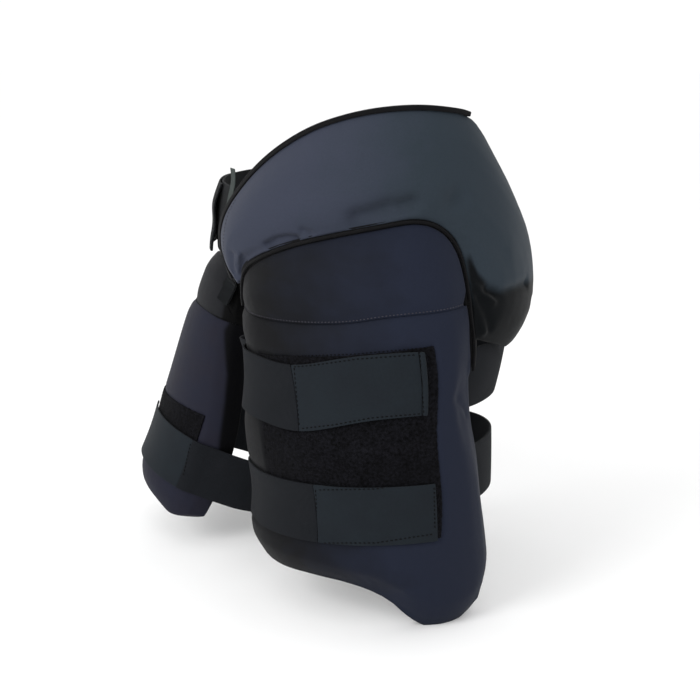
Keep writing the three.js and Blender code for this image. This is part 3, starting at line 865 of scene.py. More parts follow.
@dataclass
class Pad:
    """A foam pad with a cloth cover, swollen by cloth simulation from its CAD solid.

    Attributes:
        node: The CAD node that it stands for.
        form: The leg it lies on.
        finish: The cover's finish.
        slot: The record's material slot.
        neighbours: CAD nodes that it stays clear of.
        swell: How far its cover may rise.
        reliefs: Creases and dents.
        sewn: CAD nodes that its rim is drawn towards, with the reach and the distance of the pull.
        rim: How sharp its sewn rim stays, from 0 to 1.
        grow: How far its open rims swell outwards.
        side: Photograph points of the line beyond which its side wall turns near black, from the top down:
            partly a black side panel, partly painted shade.
        side_fade: Width over which the painted shade on the side wall sets in.
        longest: Longest edge that is left whole before the cover is smoothed.
        merge: Distance within which the solid's points join.
        shrink: How far the cloth is drawn in before it is swollen.
        clear: Distance that the swollen cover keeps from its neighbours.
        fill: How full the pad is.
        narrow: Half width below which a relief gets more points to follow.
    """

    node: str
    form: LegForm
    finish: Finish
    slot: str
    neighbours: tuple
    swell: float = 0.004
    reliefs: tuple = ()
    sewn: tuple = ()
    rim: float = 0.42
    grow: float = 0
    side: tuple = ()
    side_fade: float = 0.005
    longest: float = 0.016
    merge: float = 0.0012
    shrink: float = 0.0005
    clear: float = 0.0004
    fill: float = 0.7
    narrow: float = 0.003

    def start(self) -> None:
        """Refines a copy of the solid, draws it to its seams and hangs a cloth on it."""
        work = merged_copy(self.node)
        bmesh.ops.remove_doubles(work, verts=work.verts, dist=self.merge)
        join_flat(work)
        long = [edge for edge in work.edges if edge.calc_length() > self.longest]
        bmesh.ops.subdivide_edges(work, edges=long, cuts=1, use_grid_fill=True)
        self.piece = object_from(work, f"{self.node}_cover")
        subdivide(self.piece, kind="SIMPLE")
        mesh = self.piece.data
        work = bmesh.new()
        work.from_mesh(mesh)
        crease = work.edges.layers.float.get("crease_edge") or work.edges.layers.float.new("crease_edge")
        for edge in sharp_edges(work, PAD_SHARP):
            edge[crease] = self.rim
        work.to_mesh(mesh)
        work.free()
        subdivide(self.piece)
        mesh = self.piece.data
        self.rest = self.shape(points_of(mesh))
        move_points(mesh, self.rest)
        move_points(mesh, self.rest - normals_of(mesh) * self.shrink)
        cloth = self.piece.modifiers.new("Cloth", "CLOTH")
        cloth.settings.quality = 4
        cloth.settings.mass = 0.3
        cloth.settings.tension_stiffness = 20
        cloth.settings.compression_stiffness = 20
        cloth.settings.bending_stiffness = 2
        cloth.settings.use_pressure = True
        cloth.settings.uniform_pressure_force = 4
        cloth.settings.effector_weights.gravity = 0

    def shape(self, points: np.ndarray) -> np.ndarray:
        """Swells the open rims and draws the sewn ones towards what they are sewn to.

        Args:
            points: The cover's points, one a row.

        Returns:
            The points in their new places.
        """
        if self.grow:
            near = tree_of(*(bpy.data.objects[name] for name in self.neighbours))
            reach = 0.01
            gaps = [near.find_nearest(Vector(point), reach)[3] for point in points]
            free = np.array([1 if gap is None else min(1, max(0, 2 * gap / reach - 0.5)) for gap in gaps])
            normals, out = normals_of(self.piece.data), self.form.out_of(points)
            aside = normals - out * np.einsum("ij,ij->i", normals, out)[:, None]
            points = points + aside * (self.grow * free)[:, None]
        for target in self.sewn:
            draw_to(points, *target)
        return points

    def finish_cover(self) -> bpy.types.Object:
        """Caps the swelling, adds the creases and dresses the cover.

        Returns:
            The finished pad.
        """
        settle(self.piece)
        mesh = self.piece.data
        swollen = np.nan_to_num(points_of(mesh))
        near = tree_of(*(bpy.data.objects[name] for name in self.neighbours))
        move = swollen - self.rest
        length = np.linalg.norm(move, axis=1)
        room = np.full(len(move), self.swell)
        for index, point in enumerate(self.rest):
            _, _, _, gap = near.find_nearest(Vector(point), self.swell + 2 * self.clear)
            if gap is not None:
                room[index] = min(self.swell, max(0.0, gap - self.clear))
        move *= np.minimum(1, room / np.maximum(length, 1e-9))[:, None]
        move_points(mesh, self.rest + move)
        subdivide(self.piece)
        self.press()
        dress(self.piece, self.form, self.finish, LINING)
        self.line_back()
        hand_over(self.piece, self.slot, self.node)
        return self.piece

    def press(self) -> None:
        """Presses the creases and dents into the cover's outer face, and paints shade on the side wall past
        its line.
        """
        mesh = self.piece.data
        tree = tree_of(self.piece)
        paths = []
        for relief in self.reliefs:
            hits = [View.hit(tree, spot) for spot in relief.spots]
            hits = np.array([hit[0] for hit in hits if hit[0] is not None])
            if len(hits) == 0:
                LOG.warning("%s: a relief misses the pad", self.node)
                continue
            paths.append((relief, hits))
        for relief, path in paths:
            if relief.width < self.narrow:
                refine(mesh, path, 4 * relief.width)
        points, normals = points_of(mesh), normals_of(mesh)
        facing = np.clip(np.einsum("ij,ij->i", normals, self.form.out_of(points)), 0, 1)
        for relief, path in paths:
            away = distance_to_path(points, path)
            depth = relief.depth * np.exp(-((away / relief.width) ** 2)) * facing
            points -= normals * depth[:, None]
        move_points(mesh, points)
        # Painted shade, partly standing for a black side panel: the side wall past the line is made near
        # black
        if self.side:
            line = self.form.flat(np.array([View.hit(tree, spot)[0] for spot in self.side]))
            flat = self.form.flat(points)
            beyond = flat[:, 0] - np.interp(flat[:, 1], line[::-1, 1], line[::-1, 0])
            self.paint_shade(np.clip(beyond / self.side_fade + 0.5, 0, 1))

    def paint_shade(self, shade: np.ndarray) -> None:
        """Stores the painted shade at each point of the cover.

        Args:
            shade: Painted shade from 0 to 1, one a point.
        """
        layer = self.piece.data.attributes.new(SHADE, "FLOAT", "POINT")
        layer.data.foreach_set("value", (shade * shade * (3 - 2 * shade)).astype(np.float32))

    def line_back(self) -> None:
        """Gives the lining to the faces towards the leg, and to the wall of the rim behind the trim."""
        mesh = self.piece.data
        centres = np.zeros(len(mesh.polygons) * 3)
        mesh.polygons.foreach_get("center", centres)
        normals = np.zeros(len(mesh.polygons) * 3)
        mesh.polygons.foreach_get("normal", normals)
        centres, normals = centres.reshape(-1, 3), normals.reshape(-1, 3)
        facing = np.einsum("ij,ij->i", normals, self.form.out_of(centres))
        behind = self.form.flat(centres)[:, 2] < self.lined_to()
        lined = (facing < LINED) | ((facing < RIM_LINED) & behind)
        mesh.polygons.foreach_set("material_index", lined.astype(int))
        mesh.update()

    def lined_to(self) -> float:
        """Returns the distance outside the leg up to which the rim shows the lining."""
        return PAD_BACK + 0.001 if self.form.inner_side else 0.0015


@dataclass
class HipPad(Pad):
    """The hip pad, whose lining stands up as a low wall behind the binding.

    Attributes:
        lip: How far the wall stands above the sewn edge.
        front_lip: How far it stands out at the front edge, below the belt.
        front_from: Height below which the wall comes to stand out as at the front edge.
        front_over: Drop over which it does.
        wall: Thickness of the wall.
        reach: Distance from the binding within which the cloth is raised, fully within half of it.
        tail: Photograph points of the fold below which painted shade makes the cloth darker, where it turns
            under.
        tail_fade: Widths over which the painted shade sets in, below the fold and past its start.
    """

    lip: float = 0.0022
    front_lip: float = 0.005
    front_from: float = 0.012
    front_over: float = 0.03
    wall: float = 0.0036
    reach: float = 0.007
    tail: tuple = ((470, 255), (478, 272), (488, 287), (500, 290), (513, 286), (527, 281))
    tail_fade: tuple = (0.009, 0.006)

    def shape(self, points: np.ndarray) -> np.ndarray:
        """Draws the rim to its seams and raises the wall behind the binding.

        Args:
            points: The cover's points, one a row.

        Returns:
            The points in their new places.
        """
        points = super().shape(points)
        tree = tree_of(bpy.data.objects["hip_binding"])
        flat = self.form.flat(points)
        out = self.form.out_of(points)
        for index in np.flatnonzero(flat[:, 2] < PAD_BACK + self.wall):
            near, _, _, gap = tree.find_nearest(Vector(points[index]), self.reach)
            if near is None:
                continue
            way = np.array(near) - points[index]
            way -= out[index] * (way @ out[index])
            share = min(1, 2 * (self.reach - gap) / self.reach)
            low = min(1, max(0, (self.front_from - flat[index, 1]) / self.front_over))
            lip = self.lip + (self.front_lip - self.lip) * low
            points[index] += way / max(np.linalg.norm(way), 1e-6) * lip * share
        return points

    def press(self) -> None:
        """Presses the creases and paints shade on the tail below its fold."""
        super().press()
        # Painted shade: the tail below its fold, where the cloth turns under, is made darker
        mesh = self.piece.data
        tree = tree_of(self.piece)
        hits = [View.hit(tree, spot)[0] for spot in self.tail]
        fold = self.form.flat(np.array([hit for hit in hits if hit is not None]))
        flat = self.form.flat(points_of(mesh))
        order = np.argsort(fold[:, 0])
        below = np.interp(flat[:, 0], fold[order, 0], fold[order, 1]) - flat[:, 1]
        beside = flat[:, 0] - fold[order[0], 0]
        down, along = self.tail_fade
        self.paint_shade(np.clip(below / down + 0.4, 0, 1) * np.clip(beside / along + 1, 0, 1))

    def lined_to(self) -> float:
        """Returns the distance outside the leg up to which the rim shows the lining."""
        return PAD_BACK + self.wall + 0.0012


def refine(mesh: bpy.types.Mesh, path: np.ndarray, reach: float) -> None:
    """Halves the edges near a path, so that a narrow crease has points to follow.

    Args:
        mesh: The mesh.
        path: The path's points.
        reach: How far from the path the edges are halved.
    """
    near = distance_to_path(points_of(mesh), path) < reach
    work = bmesh.new()
    work.from_mesh(mesh)
    edges = [edge for edge in work.edges if all(near[vertex.index] for vertex in edge.verts)]
    bmesh.ops.subdivide_edges(work, edges=edges, cuts=1, use_grid_fill=True)
    work.to_mesh(mesh)
    work.free()


def distance_to_path(points: np.ndarray, path: np.ndarray) -> np.ndarray:
    """Measures how far points lie from a path.

    Args:
        points: The points, one a row.
        path: The path's points.

    Returns:
        The distances.
    """
    if len(path) == 1:
        return np.linalg.norm(points - path[0], axis=1)
    best = np.full(len(points), np.inf)
    for start, end in zip(path[:-1], path[1:]):
        run = end - start
        share = np.clip((points - start) @ run / max(run @ run, 1e-12), 0, 1)
        best = np.minimum(best, np.linalg.norm(points - start - share[:, None] * run, axis=1))
    return best


# Flat goods


@dataclass
class Band:
    """A flat strap, tab, patch or trim, refined from its CAD solid with rounded edges.

    Attributes:
        node: The CAD node that it stands for.
        form: The leg it lies on.
        finish: Its finish.
        slot: The record's material slot.
        sewn: CAD nodes that its ends are drawn towards, with the reach and the distance of the pull.
        edge: Radius of its rounded edges.
        levels: Levels of subdivision.
        ripple: Height of its soft waves.
        fuzz: Height of its pile.
    """

    node: str
    form: LegForm
    finish: Finish
    slot: str
    sewn: tuple = ()
    edge: float = 0.0005
    levels: int = 2
    ripple: float = 0.0002
    fuzz: float = 0

    def make(self) -> bpy.types.Object:
        """Builds and dresses the band.

        Returns:
            The finished band.
        """
        work = merged_copy(self.node)
        join_flat(work)
        sharp = sharp_edges(work, BAND_SHARP)
        bmesh.ops.bevel(work, geom=sharp, offset=self.edge, segments=2, affect="EDGES", profile=0.5,
                        material=-1, clamp_overlap=True)
        piece = object_from(work, f"{self.node}_cloth")
        subdivide(piece, self.levels)
        self.relax(piece)
        dress(piece, self.form, self.finish)
        hand_over(piece, self.slot, self.node)
        return piece

    def relax(self, piece: bpy.types.Object) -> None:
        """Closes a band to what it is sewn to, and gives it its soft waves and a patch its pile.

        Args:
            piece: The band.
        """
        mesh = piece.data
        points, normals = points_of(mesh), normals_of(mesh)
        for target in self.sewn:
            draw_to(points, *target)
        flat = self.form.flat(points)
        across, up = WAVES
        rise = np.array([noise.noise(Vector((x * across, y * up, 0.5))) for x, y, _ in flat]) * self.ripple
        points += normals * rise[:, None]
        if self.fuzz:
            tuft = [noise.noise(Vector((x * TUFTS, y * TUFTS, z * TUFTS))) for x, y, z in flat]
            points += normals * (np.array(tuft) * self.fuzz)[:, None]
        move_points(mesh, points)


@dataclass
class Trim(Band):
    """A corded trim that is drawn in to a thinner cord and shifted onto the edge that it finishes.

    Attributes:
        thinner: How much is taken off all round.
        outward: How far it moves out of the leg.
        inward: How far it moves towards the pad named by onto.
        onto: CAD node that it is drawn down to.
        flange: Line along which a flat flange fills up the pads' seam below the cord.
        half: Half the flange's width.
        depth: Distances of the flange's two faces from the pads' backs.
    """

    thinner: float = 0
    outward: float = 0
    inward: float = 0
    onto: str = ""
    flange: Line | None = None
    half: float = 0.0036
    depth: tuple = (0.0008, 0.0062)

    def relax(self, piece: bpy.types.Object) -> None:
        """Thins and shifts the cord, and adds its flange.

        Args:
            piece: The cord.
        """
        mesh = piece.data
        points, normals = points_of(mesh), normals_of(mesh)
        points -= normals * self.thinner
        out = self.form.out_of(points)
        if self.onto:
            tree = tree_of(bpy.data.objects[self.onto])
            for index, point in enumerate(points):
                way = np.array(tree.find_nearest(Vector(point))[0]) - point
                way -= out[index] * (way @ out[index])
                points[index] += way / max(np.linalg.norm(way), 1e-6) * self.inward
        move_points(mesh, points + out * self.outward)
        if self.flange:
            self.add_flange(piece)

    def add_flange(self, piece: bpy.types.Object) -> None:
        """Adds the flange to the mesh of the cord.

        Args:
            piece: The cord.
        """
        work = bmesh.new()
        work.from_mesh(piece.data)
        rings = []
        sides = [self.flange.spaced(0.005, end=0.975, aside=aside) for aside in (-self.half, self.half)]
        back, front = (PAD_BACK + depth for depth in self.depth)
        for low, high in zip(*sides):
            corners = ((low, back), (low, front), (high, front), (high, back))
            points = [work.verts.new(self.form.point(*spot, offset)) for spot, offset in corners]
            rings.append([work.edges.new((points[turn - 1], points[turn])) for turn in range(4)])
        for first, second in zip(rings[:-1], rings[1:]):
            bmesh.ops.bridge_loops(work, edges=[*first, *second])
        for end in (rings[0], rings[-1]):
            bmesh.ops.contextual_create(work, geom=end)
        bmesh.ops.recalc_face_normals(work, faces=work.faces)
        work.to_mesh(piece.data)
        work.free()


# Stitching


@dataclass
class Seam:
    """A row of stitches sunk a little into the cloth along a line.

    Attributes:
        name: The piece's name.
        finish: The thread's finish.
        slot: The record's material slot.
        stitch: Length of one stitch.
        gap: Space between two stitches.
        thread: Radius of the thread.
        start: Distance outside the leg from which the cloth is looked for.
        reach: How far it is looked for.
        rounds: Rounds of smoothing that bend a line through its points.
    """

    name: str
    finish: Finish
    slot: str
    stitch: float = 0.0024
    gap: float = 0.0012
    thread: float = 0.0004
    start: float = 0.06
    reach: float = 0.08
    rounds: int = 40

    def __post_init__(self) -> None:
        """Opens the bmesh that the stitches are added to."""
        self.work = bmesh.new()

    def run(self, form: LegForm, spots: list[tuple], tree: BVHTree) -> None:
        """Adds stitches along a line of angles and heights.

        Args:
            form: The leg that the line is drawn on.
            spots: Angle and height at every stitch pitch.
            tree: The surfaces to stitch on.
        """
        placed = []
        for angle, height in spots:
            start = form.point(angle, height, self.start)
            hit, normal, _, _ = tree.ray_cast(start, -form.outward(angle, height), self.reach)
            placed.append(None if hit is None else (hit, normal))
        for first, second in zip(placed[:-1], placed[1:]):
            if first is None or second is None:
                continue
            self.add(first[0], second[0], first[1])

    def follow(self, tree: BVHTree, pixels: tuple, smooth: bool = False) -> None:
        """Adds stitches along a line drawn on the photograph.

        Args:
            tree: The surfaces to stitch on.
            pixels: Points of the line, in the frame's pixels.
            smooth: Whether the line bends smoothly through its points.
        """
        line = np.array(pixels, dtype=float)
        steps = np.concatenate([[0], np.cumsum(np.linalg.norm(np.diff(line, axis=0), axis=1))])
        count = max(2, int(steps[-1]))
        at = np.linspace(0, steps[-1], count)
        fine = np.stack([np.interp(at, steps, line[:, 0]), np.interp(at, steps, line[:, 1])], axis=1)
        if smooth:
            for _ in range(self.rounds):
                fine[1:-1] = (fine[:-2] + 2 * fine[1:-1] + fine[2:]) / 4
        hits = [View.hit(tree, tuple(pixel)) for pixel in fine]
        hits = [hit for hit in hits if hit[0] is not None]
        if len(hits) < 2:
            LOG.warning("%s: a row misses its cloth", self.name)
            return
        spots = np.array([hit[0] for hit in hits])
        length = np.concatenate([[0], np.cumsum(np.linalg.norm(np.diff(spots, axis=0), axis=1))])
        marks = np.arange(0, length[-1], self.pitch)
        placed = np.stack([np.interp(marks, length, spots[:, axis]) for axis in range(3)], axis=1)
        for first, second in zip(placed[:-1], placed[1:]):
            index = int(np.argmin(np.linalg.norm(spots - first, axis=1)))
            self.add(Vector(first), Vector(second), hits[index][1])

    def add(self, start: Vector, end: Vector, normal: Vector) -> None:
        """Adds one stitch between two spots.

        Args:
            start: Where the pitch starts.
            end: Where it ends.
            normal: The cloth's normal.
        """
        way = end - start
        if way.length > 2.5 * self.pitch or way.length < 1e-5:
            return
        along = way.normalized()
        up = (normal - along * normal.dot(along)).normalized()
        side = along.cross(up)
        turn = Matrix((side, along, up)).transposed().to_4x4()
        size = Matrix.Diagonal((self.thread, self.stitch / 2, self.thread * 0.8, 1))
        spot = Matrix.Translation((start + end) / 2 + up * self.thread * 0.35)
        bmesh.ops.create_icosphere(self.work, subdivisions=1, radius=1, matrix=spot @ turn @ size)

    def sew(self, form: LegForm) -> bpy.types.Object | None:
        """Finishes the row as one piece.

        Args:
            form: The leg that its cloth coordinates follow.

        Returns:
            The piece, or None where no stitch found cloth.
        """
        if not self.work.verts:
            LOG.warning("%s: no stitches", self.name)
            self.work.free()
            return None
        piece = object_from(self.work, self.name)
        dress(piece, form, self.finish)
        hand_over(piece, self.slot)
        return piece

    @property
    def pitch(self) -> float:
        """Distance from stitch to stitch."""
        return self.stitch + self.gap


# Camera, light and floor


@dataclass
class View:
    """The photograph's view.

    Attributes:
        azimuth: Degrees that the camera stands round from the guard's front.
        elevation: Degrees that it stands above the level.
        spot: Where it stands.
        lens: Focal length in millimetres.
        sensor: Width of the sensor in millimetres.
        frame: Width and height of the picture in pixels.
    """

    azimuth: float = 65
    elevation: float = 14
    spot: tuple = (1.1057, -0.5237, 0.1773)
    lens: float = 68.91
    sensor: float = 36
    frame: int = 700

    @classmethod
    def axes(cls) -> tuple[Vector, Vector, Vector]:
        """Works out the directions of the view.

        Returns:
            The view's right, up and back directions.
        """
        turn, rise = math.radians(cls.azimuth), math.radians(cls.elevation)
        back = Vector((math.sin(turn) * math.cos(rise), -math.cos(turn) * math.cos(rise), math.sin(rise)))
        right = Vector((math.cos(turn), math.sin(turn), 0))
        return right, back.cross(right), back

    @classmethod
    def hit(cls, tree: BVHTree, pixel: tuple) -> tuple[Vector | None, Vector | None]:
        """Finds the surface behind a point of the photograph.

        Args:
            tree: The surfaces.
            pixel: Across and down, in the frame's pixels.

        Returns:
            The spot on the surface and its normal, or None for both.
        """
        right, up, back = cls.axes()
        focal = cls.lens / cls.sensor * cls.frame
        across, down = pixel[0] - cls.frame / 2, pixel[1] - cls.frame / 2
        way = (right * across - up * down - back * focal).normalized()
        return tree.ray_cast(Vector(cls.spot), way)[:2]

    def make(self) -> None:
        """Sets up the camera."""
        lens = bpy.data.cameras.new("camera")
        lens.lens, lens.sensor_width = self.lens, self.sensor
        camera = bpy.data.objects.new("camera", lens)
        bpy.context.scene.collection.objects.link(camera)
        camera.location = self.spot
        camera.rotation_mode = "QUATERNION"
        camera.rotation_quaternion = (-self.axes()[2]).to_track_quat("-Z", "Y")
        bpy.context.scene.camera = camera


@dataclass
class Studio:
    """Plain pale floor and plain soft light.

    Attributes:
        floor: Height of the floor.
        reach: Its radius.
        world: Strength of the light from all round.
        target: What the lamps look at.
    """

    floor: float = -0.321
    reach: float = 12
    world: float = 1.05
    target: tuple = (0.05, -0.02, -0.1)

    def make(self) -> None:
        """Builds the floor, the world and the lamps."""
        work = bmesh.new()
        bmesh.ops.create_circle(work, cap_ends=True, segments=96, radius=self.reach,
                                matrix=Matrix.Translation((0, 0, self.floor)))
        floor = object_from(work, "floor")
        paint = bpy.data.materials.new("pale_floor")
        paint.use_nodes = True
        shader = Graph(paint).shader
        shader.inputs["Base Color"].default_value = (0.96, 0.96, 0.96, 1)
        shader.inputs["Roughness"].default_value = 0.9
        shader.inputs["Specular IOR Level"].default_value = 0.1
        floor.data.materials.append(paint)
        world = bpy.data.worlds.new("studio")
        world.use_nodes = True
        backdrop = next(n for n in world.node_tree.nodes if n.type == "BACKGROUND")
        backdrop.inputs["Color"].default_value = (1, 1, 1, 1)
        backdrop.inputs["Strength"].default_value = self.world
        bpy.context.scene.world = world
        self.lamp("key", (0.7, -2.1, 1.2), 1.2, 26)
        self.lamp("fill", (2.2, -0.6, 0.9), 1.6, 4)
        bpy.context.scene.view_settings.view_transform = "Standard"

    def lamp(self, name: str, spot: tuple, size: float, power: float) -> None:
        """Adds a soft lamp that looks at the guard.

        Args:
            name: The lamp's name.
            spot: Where it stands.
            size: Its width.
            power: Its power.
        """
        light = bpy.data.lights.new(name, "AREA")
        light.shape, light.size, light.energy = "DISK", size, power
        lamp = bpy.data.objects.new(name, light)
        lamp.location = spot
        lamp.rotation_mode = "QUATERNION"
        lamp.rotation_quaternion = (Vector(self.target) - Vector(spot)).to_track_quat("-Z", "Y")
        bpy.context.scene.collection.objects.link(lamp)


# The guard's sub-assemblies


@dataclass
class Padding:
    """The five pads, swollen together in one simulation.

    Attributes:
        left: Form of the left thigh and hip.
        right: Form of the right thigh.
        frames: Frames that the simulation runs.
    """

    left: LegForm
    right: LegForm
    frames: int = 20

    # Points of the photograph, in pixels, with the half width and depth of each relief
    HIP_RELIEFS = (
        Relief(((267, 245), (277, 240), (288, 238), (296, 239)), 0.0032, 0.0042),
        Relief(((268, 250), (288, 246), (308, 245)), 0.003, -0.0012),
        Relief(((303, 231), (309, 233), (316, 238)), 0.0034, 0.0024),
        Relief(((358, 219), (372, 216), (388, 210)), 0.009, 0.0078),
        Relief(((404, 207), (412, 204)), 0.007, 0.0065),
        Relief(((457, 199),), 0.01, 0.0052),
        Relief(((232, 255), (233, 272)), 0.0035, 0.0018),
        Relief(((239, 255), (238, 272), (237, 283)), 0.0022, -0.0014),
        Relief(((243, 256), (242, 272)), 0.0035, 0.0018),
        Relief(((488, 290), (500, 292), (515, 288), (527, 283)), 0.0045, 0.0032),
        Relief(((488, 288), (495, 292)), 0.0045, 0.0035),
        Relief(((474, 285), (484, 293), (493, 302)), 0.0032, -0.0026),
        Relief(((473, 297), (478, 311), (484, 331)), 0.0034, -0.002),
        Relief(((479, 298), (486, 311), (490, 328)), 0.0034, 0.0018),
    )
    THIGH_RELIEFS = (Relief(((458, 401), (463, 406), (466, 413)), 0.0034, 0.0012),)
    # Photograph points of the lines past which the inner pads' side walls get painted shade, partly
    # standing for a black side panel
    CROWN_SIDE = ((223, 283), (224, 294), (224.5, 306))
    INNER_SIDE = ((224.5, 330), (227, 375), (224.5, 402), (221, 428), (219, 446), (216, 480), (211, 503))

    def make(self) -> dict[str, bpy.types.Object]:
        """Builds every pad.

        Returns:
            The pads by their CAD nodes' names.
        """
        pads = [
            HipPad("hip_pad", self.left, HIP_CLOTH, "hip_cloth",
                   ("arch_piping", "hip_binding", "waist_belt"), swell=0.0032,
                   sewn=(ARCH_SEAM,), reliefs=self.HIP_RELIEFS),
            Pad("thigh_pad_upper", self.left, THIGH_CLOTH, "thigh_cloth",
                ("arch_piping", "thigh_pad_lower", "upper_strap"), swell=0.003,
                sewn=(ARCH_SEAM, ("thigh_pad_lower", *PANEL_SEAM))),
            Pad("thigh_pad_lower", self.left, THIGH_CLOTH, "thigh_cloth",
                ("arch_piping", "thigh_pad_upper", "thigh_loop_patch", "upper_strap", "lower_strap"),
                swell=0.003, sewn=(ARCH_SEAM, ("thigh_pad_upper", *PANEL_SEAM)), rim=0.55, grow=0.0018,
                reliefs=self.THIGH_RELIEFS),
            Pad("inner_pad_upper", self.right, CROWN_CLOTH, "inner_crown_cloth",
                ("inner_pad_lower", "link_strap", "waist_belt", "belt_tab"), swell=0.0025,
                sewn=(("inner_pad_lower", *PANEL_SEAM),), side=self.CROWN_SIDE),
            Pad("inner_pad_lower", self.right, INNER_CLOTH, "inner_cloth",
                ("inner_pad_upper", "inner_loop_patch", "inner_strap", "inner_strap_tab"), swell=0.0025,
                sewn=(("inner_pad_upper", *PANEL_SEAM),), side=self.INNER_SIDE),
        ]
        for pad in pads:
            pad.start()
        for frame in range(1, self.frames + 1):
            bpy.context.scene.frame_set(frame)
        made = {pad.node: pad.finish_cover() for pad in pads}
        bpy.context.scene.frame_set(1)
        return made


@dataclass
class Straps:
    """The elastic straps, hook tabs, loop patches, belt, link strap and corded trims.

    Attributes:
        left: Form of the left thigh and hip.
        right: Form of the right thigh.
        waist: Form of the waist.
    """

    left: LegForm
    right: LegForm
    waist: LegForm

    # Degrees round the thigh and share of the guard's height of the arch's line
    ARCH = (
        (2.5, -0.155), (7, -0.116), (12.5, -0.078), (22.5, -0.046), (37.5, -0.012),
        (53, 0.013), (68, 0.031), (79, 0.04), (87, 0.03), (93, 0.003),
        (96, -0.035), (97.5, -0.094), (99, -0.15), (101.5, -0.2), (103, -0.264),
    )

    def make(self) -> dict[str, bpy.types.Object]:
        """Builds every flat piece.

        Returns:
            The pieces by their CAD nodes' names.
        """
        bands = [
            Band("thigh_loop_patch", self.left, LOOP_PILE, "loop_pile", levels=3, fuzz=0.0007),
            Band("upper_strap", self.left, ELASTIC, "elastic"),
            Band("upper_strap_tab", self.left, TAB_CLOTH, "tab_cloth", (("upper_strap", *TAB_SEAM),)),
            Band("upper_strap_pull", self.left, TAB_CLOTH, "tab_cloth",
                 (("upper_strap_tab", 0.0016, 0.0005),), edge=0.0012),
            Band("lower_strap", self.left, ELASTIC, "elastic"),
            Band("lower_strap_tab", self.left, TAB_CLOTH, "tab_cloth", (("lower_strap", *TAB_SEAM),)),
            Band("waist_belt", self.waist, WEBBING, "webbing"),
            Band("belt_tab", self.waist, WEBBING, "webbing", ripple=0.0006),
            Band("belt_pull", self.waist, PULL_TAPE, "pull_tape", edge=0.0003),
            Band("link_strap", self.waist, WEBBING, "webbing"),
            Band("inner_loop_patch", self.right, LOOP_PILE, "loop_pile", levels=3, fuzz=0.0006),
            Band("inner_strap", self.right, ELASTIC, "elastic"),
            Band("inner_strap_tab", self.right, TAB_CLOTH, "tab_cloth", (("inner_strap", *TAB_SEAM),)),
            Trim("arch_piping", self.left, BINDING, "binding", thinner=0.0007, outward=0.0008,
                 flange=Line(self.left, self.ARCH)),
            Trim("hip_binding", self.left, BINDING, "binding", edge=0.0012, thinner=-0.0009, outward=0.0016,
                 inward=0.0015, onto="hip_pad"),
        ]
        return {band.node: band.make() for band in bands}


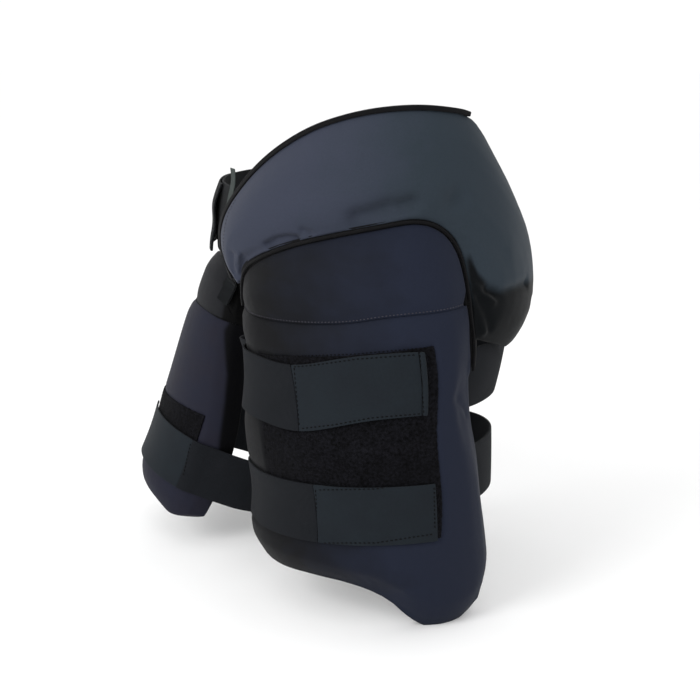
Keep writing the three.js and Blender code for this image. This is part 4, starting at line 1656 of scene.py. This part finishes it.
@dataclass
class Stitching:
    """Rows of stitches on the pads, tabs and patches.

    Attributes:
        left: Form of the left thigh and hip.
        right: Form of the right thigh.
        pads: The finished pads by their CAD nodes' names.
        bands: The finished flat pieces by their CAD nodes' names.
    """

    left: LegForm
    right: LegForm
    pads: dict
    bands: dict

    # Degrees round the leg and share of the guard's or the inner guard's length
    SEAM = ((2.5, -0.157), (28, -0.158), (51, -0.148), (66, -0.134), (80, -0.127), (96.5, -0.122))
    INNER_SEAM = ((-50, -0.266), (-10, -0.246), (29, -0.234))
    # Points of the photograph, in pixels
    HIP_EDGE = ((236, 199), (229, 211), (225, 224), (223.5, 238), (223.5, 254), (226, 268), (232, 281))
    UPPER_TAB = (
        ((294, 367), (299.5, 428)),
        ((293, 367), (316, 365), (334, 362.4), (356, 359.2), (419, 354.6)),
        ((301, 428.6), (334, 424.8), (372, 417.8), (423, 413.6)),
        ((420, 354), (424, 414.5)),
    )
    LOWER_TAB = (
        ((315.5, 489), (318, 543)),
        ((318, 490), (375, 489), (433, 481)),
        ((320, 543), (375, 543), (434, 534)),
        ((434, 483), (435, 532)),
    )
    INNER_TAB = (((190.5, 443), (182.5, 479)),)
    PATCH = (((263, 357), (355, 354), (431, 347)), ((434, 424), (436, 472)))

    def make(self) -> None:
        """Sews every row."""
        cover = tree_of(self.pads["thigh_pad_upper"], self.pads["thigh_pad_lower"])
        seam = Seam("thigh_seam_stitches", PALE_THREAD, "binding", stitch=0.0018, gap=0.0006, thread=0.0005)
        spots = Line(self.left, self.SEAM).spaced(seam.pitch, 0.01, 0.99, aside=0.0022)
        seam.run(self.left, spots, cover)
        seam.sew(self.left)
        # Black stitches packed close into a dark line, which also stands in for the painted shade in the
        # seam's groove
        inner = Seam("inner_seam_stitches", DARK_THREAD, "inner_cloth", stitch=0.0022, gap=0.0002,
                     thread=0.0007)
        spots = Line(self.right, self.INNER_SEAM, INNER_LENGTH).spaced(inner.pitch, 0.02, 0.98)
        inner.run(self.right, spots, tree_of(self.pads["inner_pad_upper"], self.pads["inner_pad_lower"]))
        inner.sew(self.right)
        self.hip_stitches()
        self.tab_stitches()
        self.patch_stitches()

    def hip_stitches(self) -> None:
        """Sews the front edge of the hip pad."""
        edge = Seam("hip_edge_stitches", PALE_THREAD, "binding", stitch=0.0016, gap=0.0016, thread=0.00055)
        edge.follow(tree_of(self.pads["hip_pad"]), self.HIP_EDGE, smooth=True)
        edge.sew(self.left)

    def tab_stitches(self) -> None:
        """Sews the borders of the hook tabs."""
        border = Seam("tab_stitches", DARK_THREAD, "tab_cloth", stitch=0.0024, gap=0.0013, thread=0.00055)
        tabs = (
            (("upper_strap", "upper_strap_tab", "upper_strap_pull"), self.UPPER_TAB),
            (("lower_strap", "lower_strap_tab"), self.LOWER_TAB),
            (("inner_strap", "inner_strap_tab"), self.INNER_TAB),
        )
        for names, rows in tabs:
            cloth = tree_of(*(self.bands[name] for name in names))
            for row in rows:
                border.follow(cloth, row)
        border.sew(self.left)

    def patch_stitches(self) -> None:
        """Sews the thigh's loop patch down along its top and its back edge."""
        cloth = tree_of(self.bands["thigh_loop_patch"], self.pads["thigh_pad_lower"])
        edge = Seam("patch_stitches", DARK_THREAD, "thigh_cloth", stitch=0.0022, gap=0.0011, thread=0.00045)
        for row in self.PATCH:
            edge.follow(cloth, row)
        edge.sew(self.left)


def main() -> None:
    """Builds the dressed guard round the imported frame."""
    logging.basicConfig(level=logging.INFO, format="%(message)s")
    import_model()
    left, right, waist = left_form(), right_form(), waist_form()
    View().make()
    Studio().make()
    pads = Padding(left, right).make()
    bands = Straps(left, right, waist).make()
    Stitching(left, right, pads, bands).make()


if __name__ == "__main__":
    main()
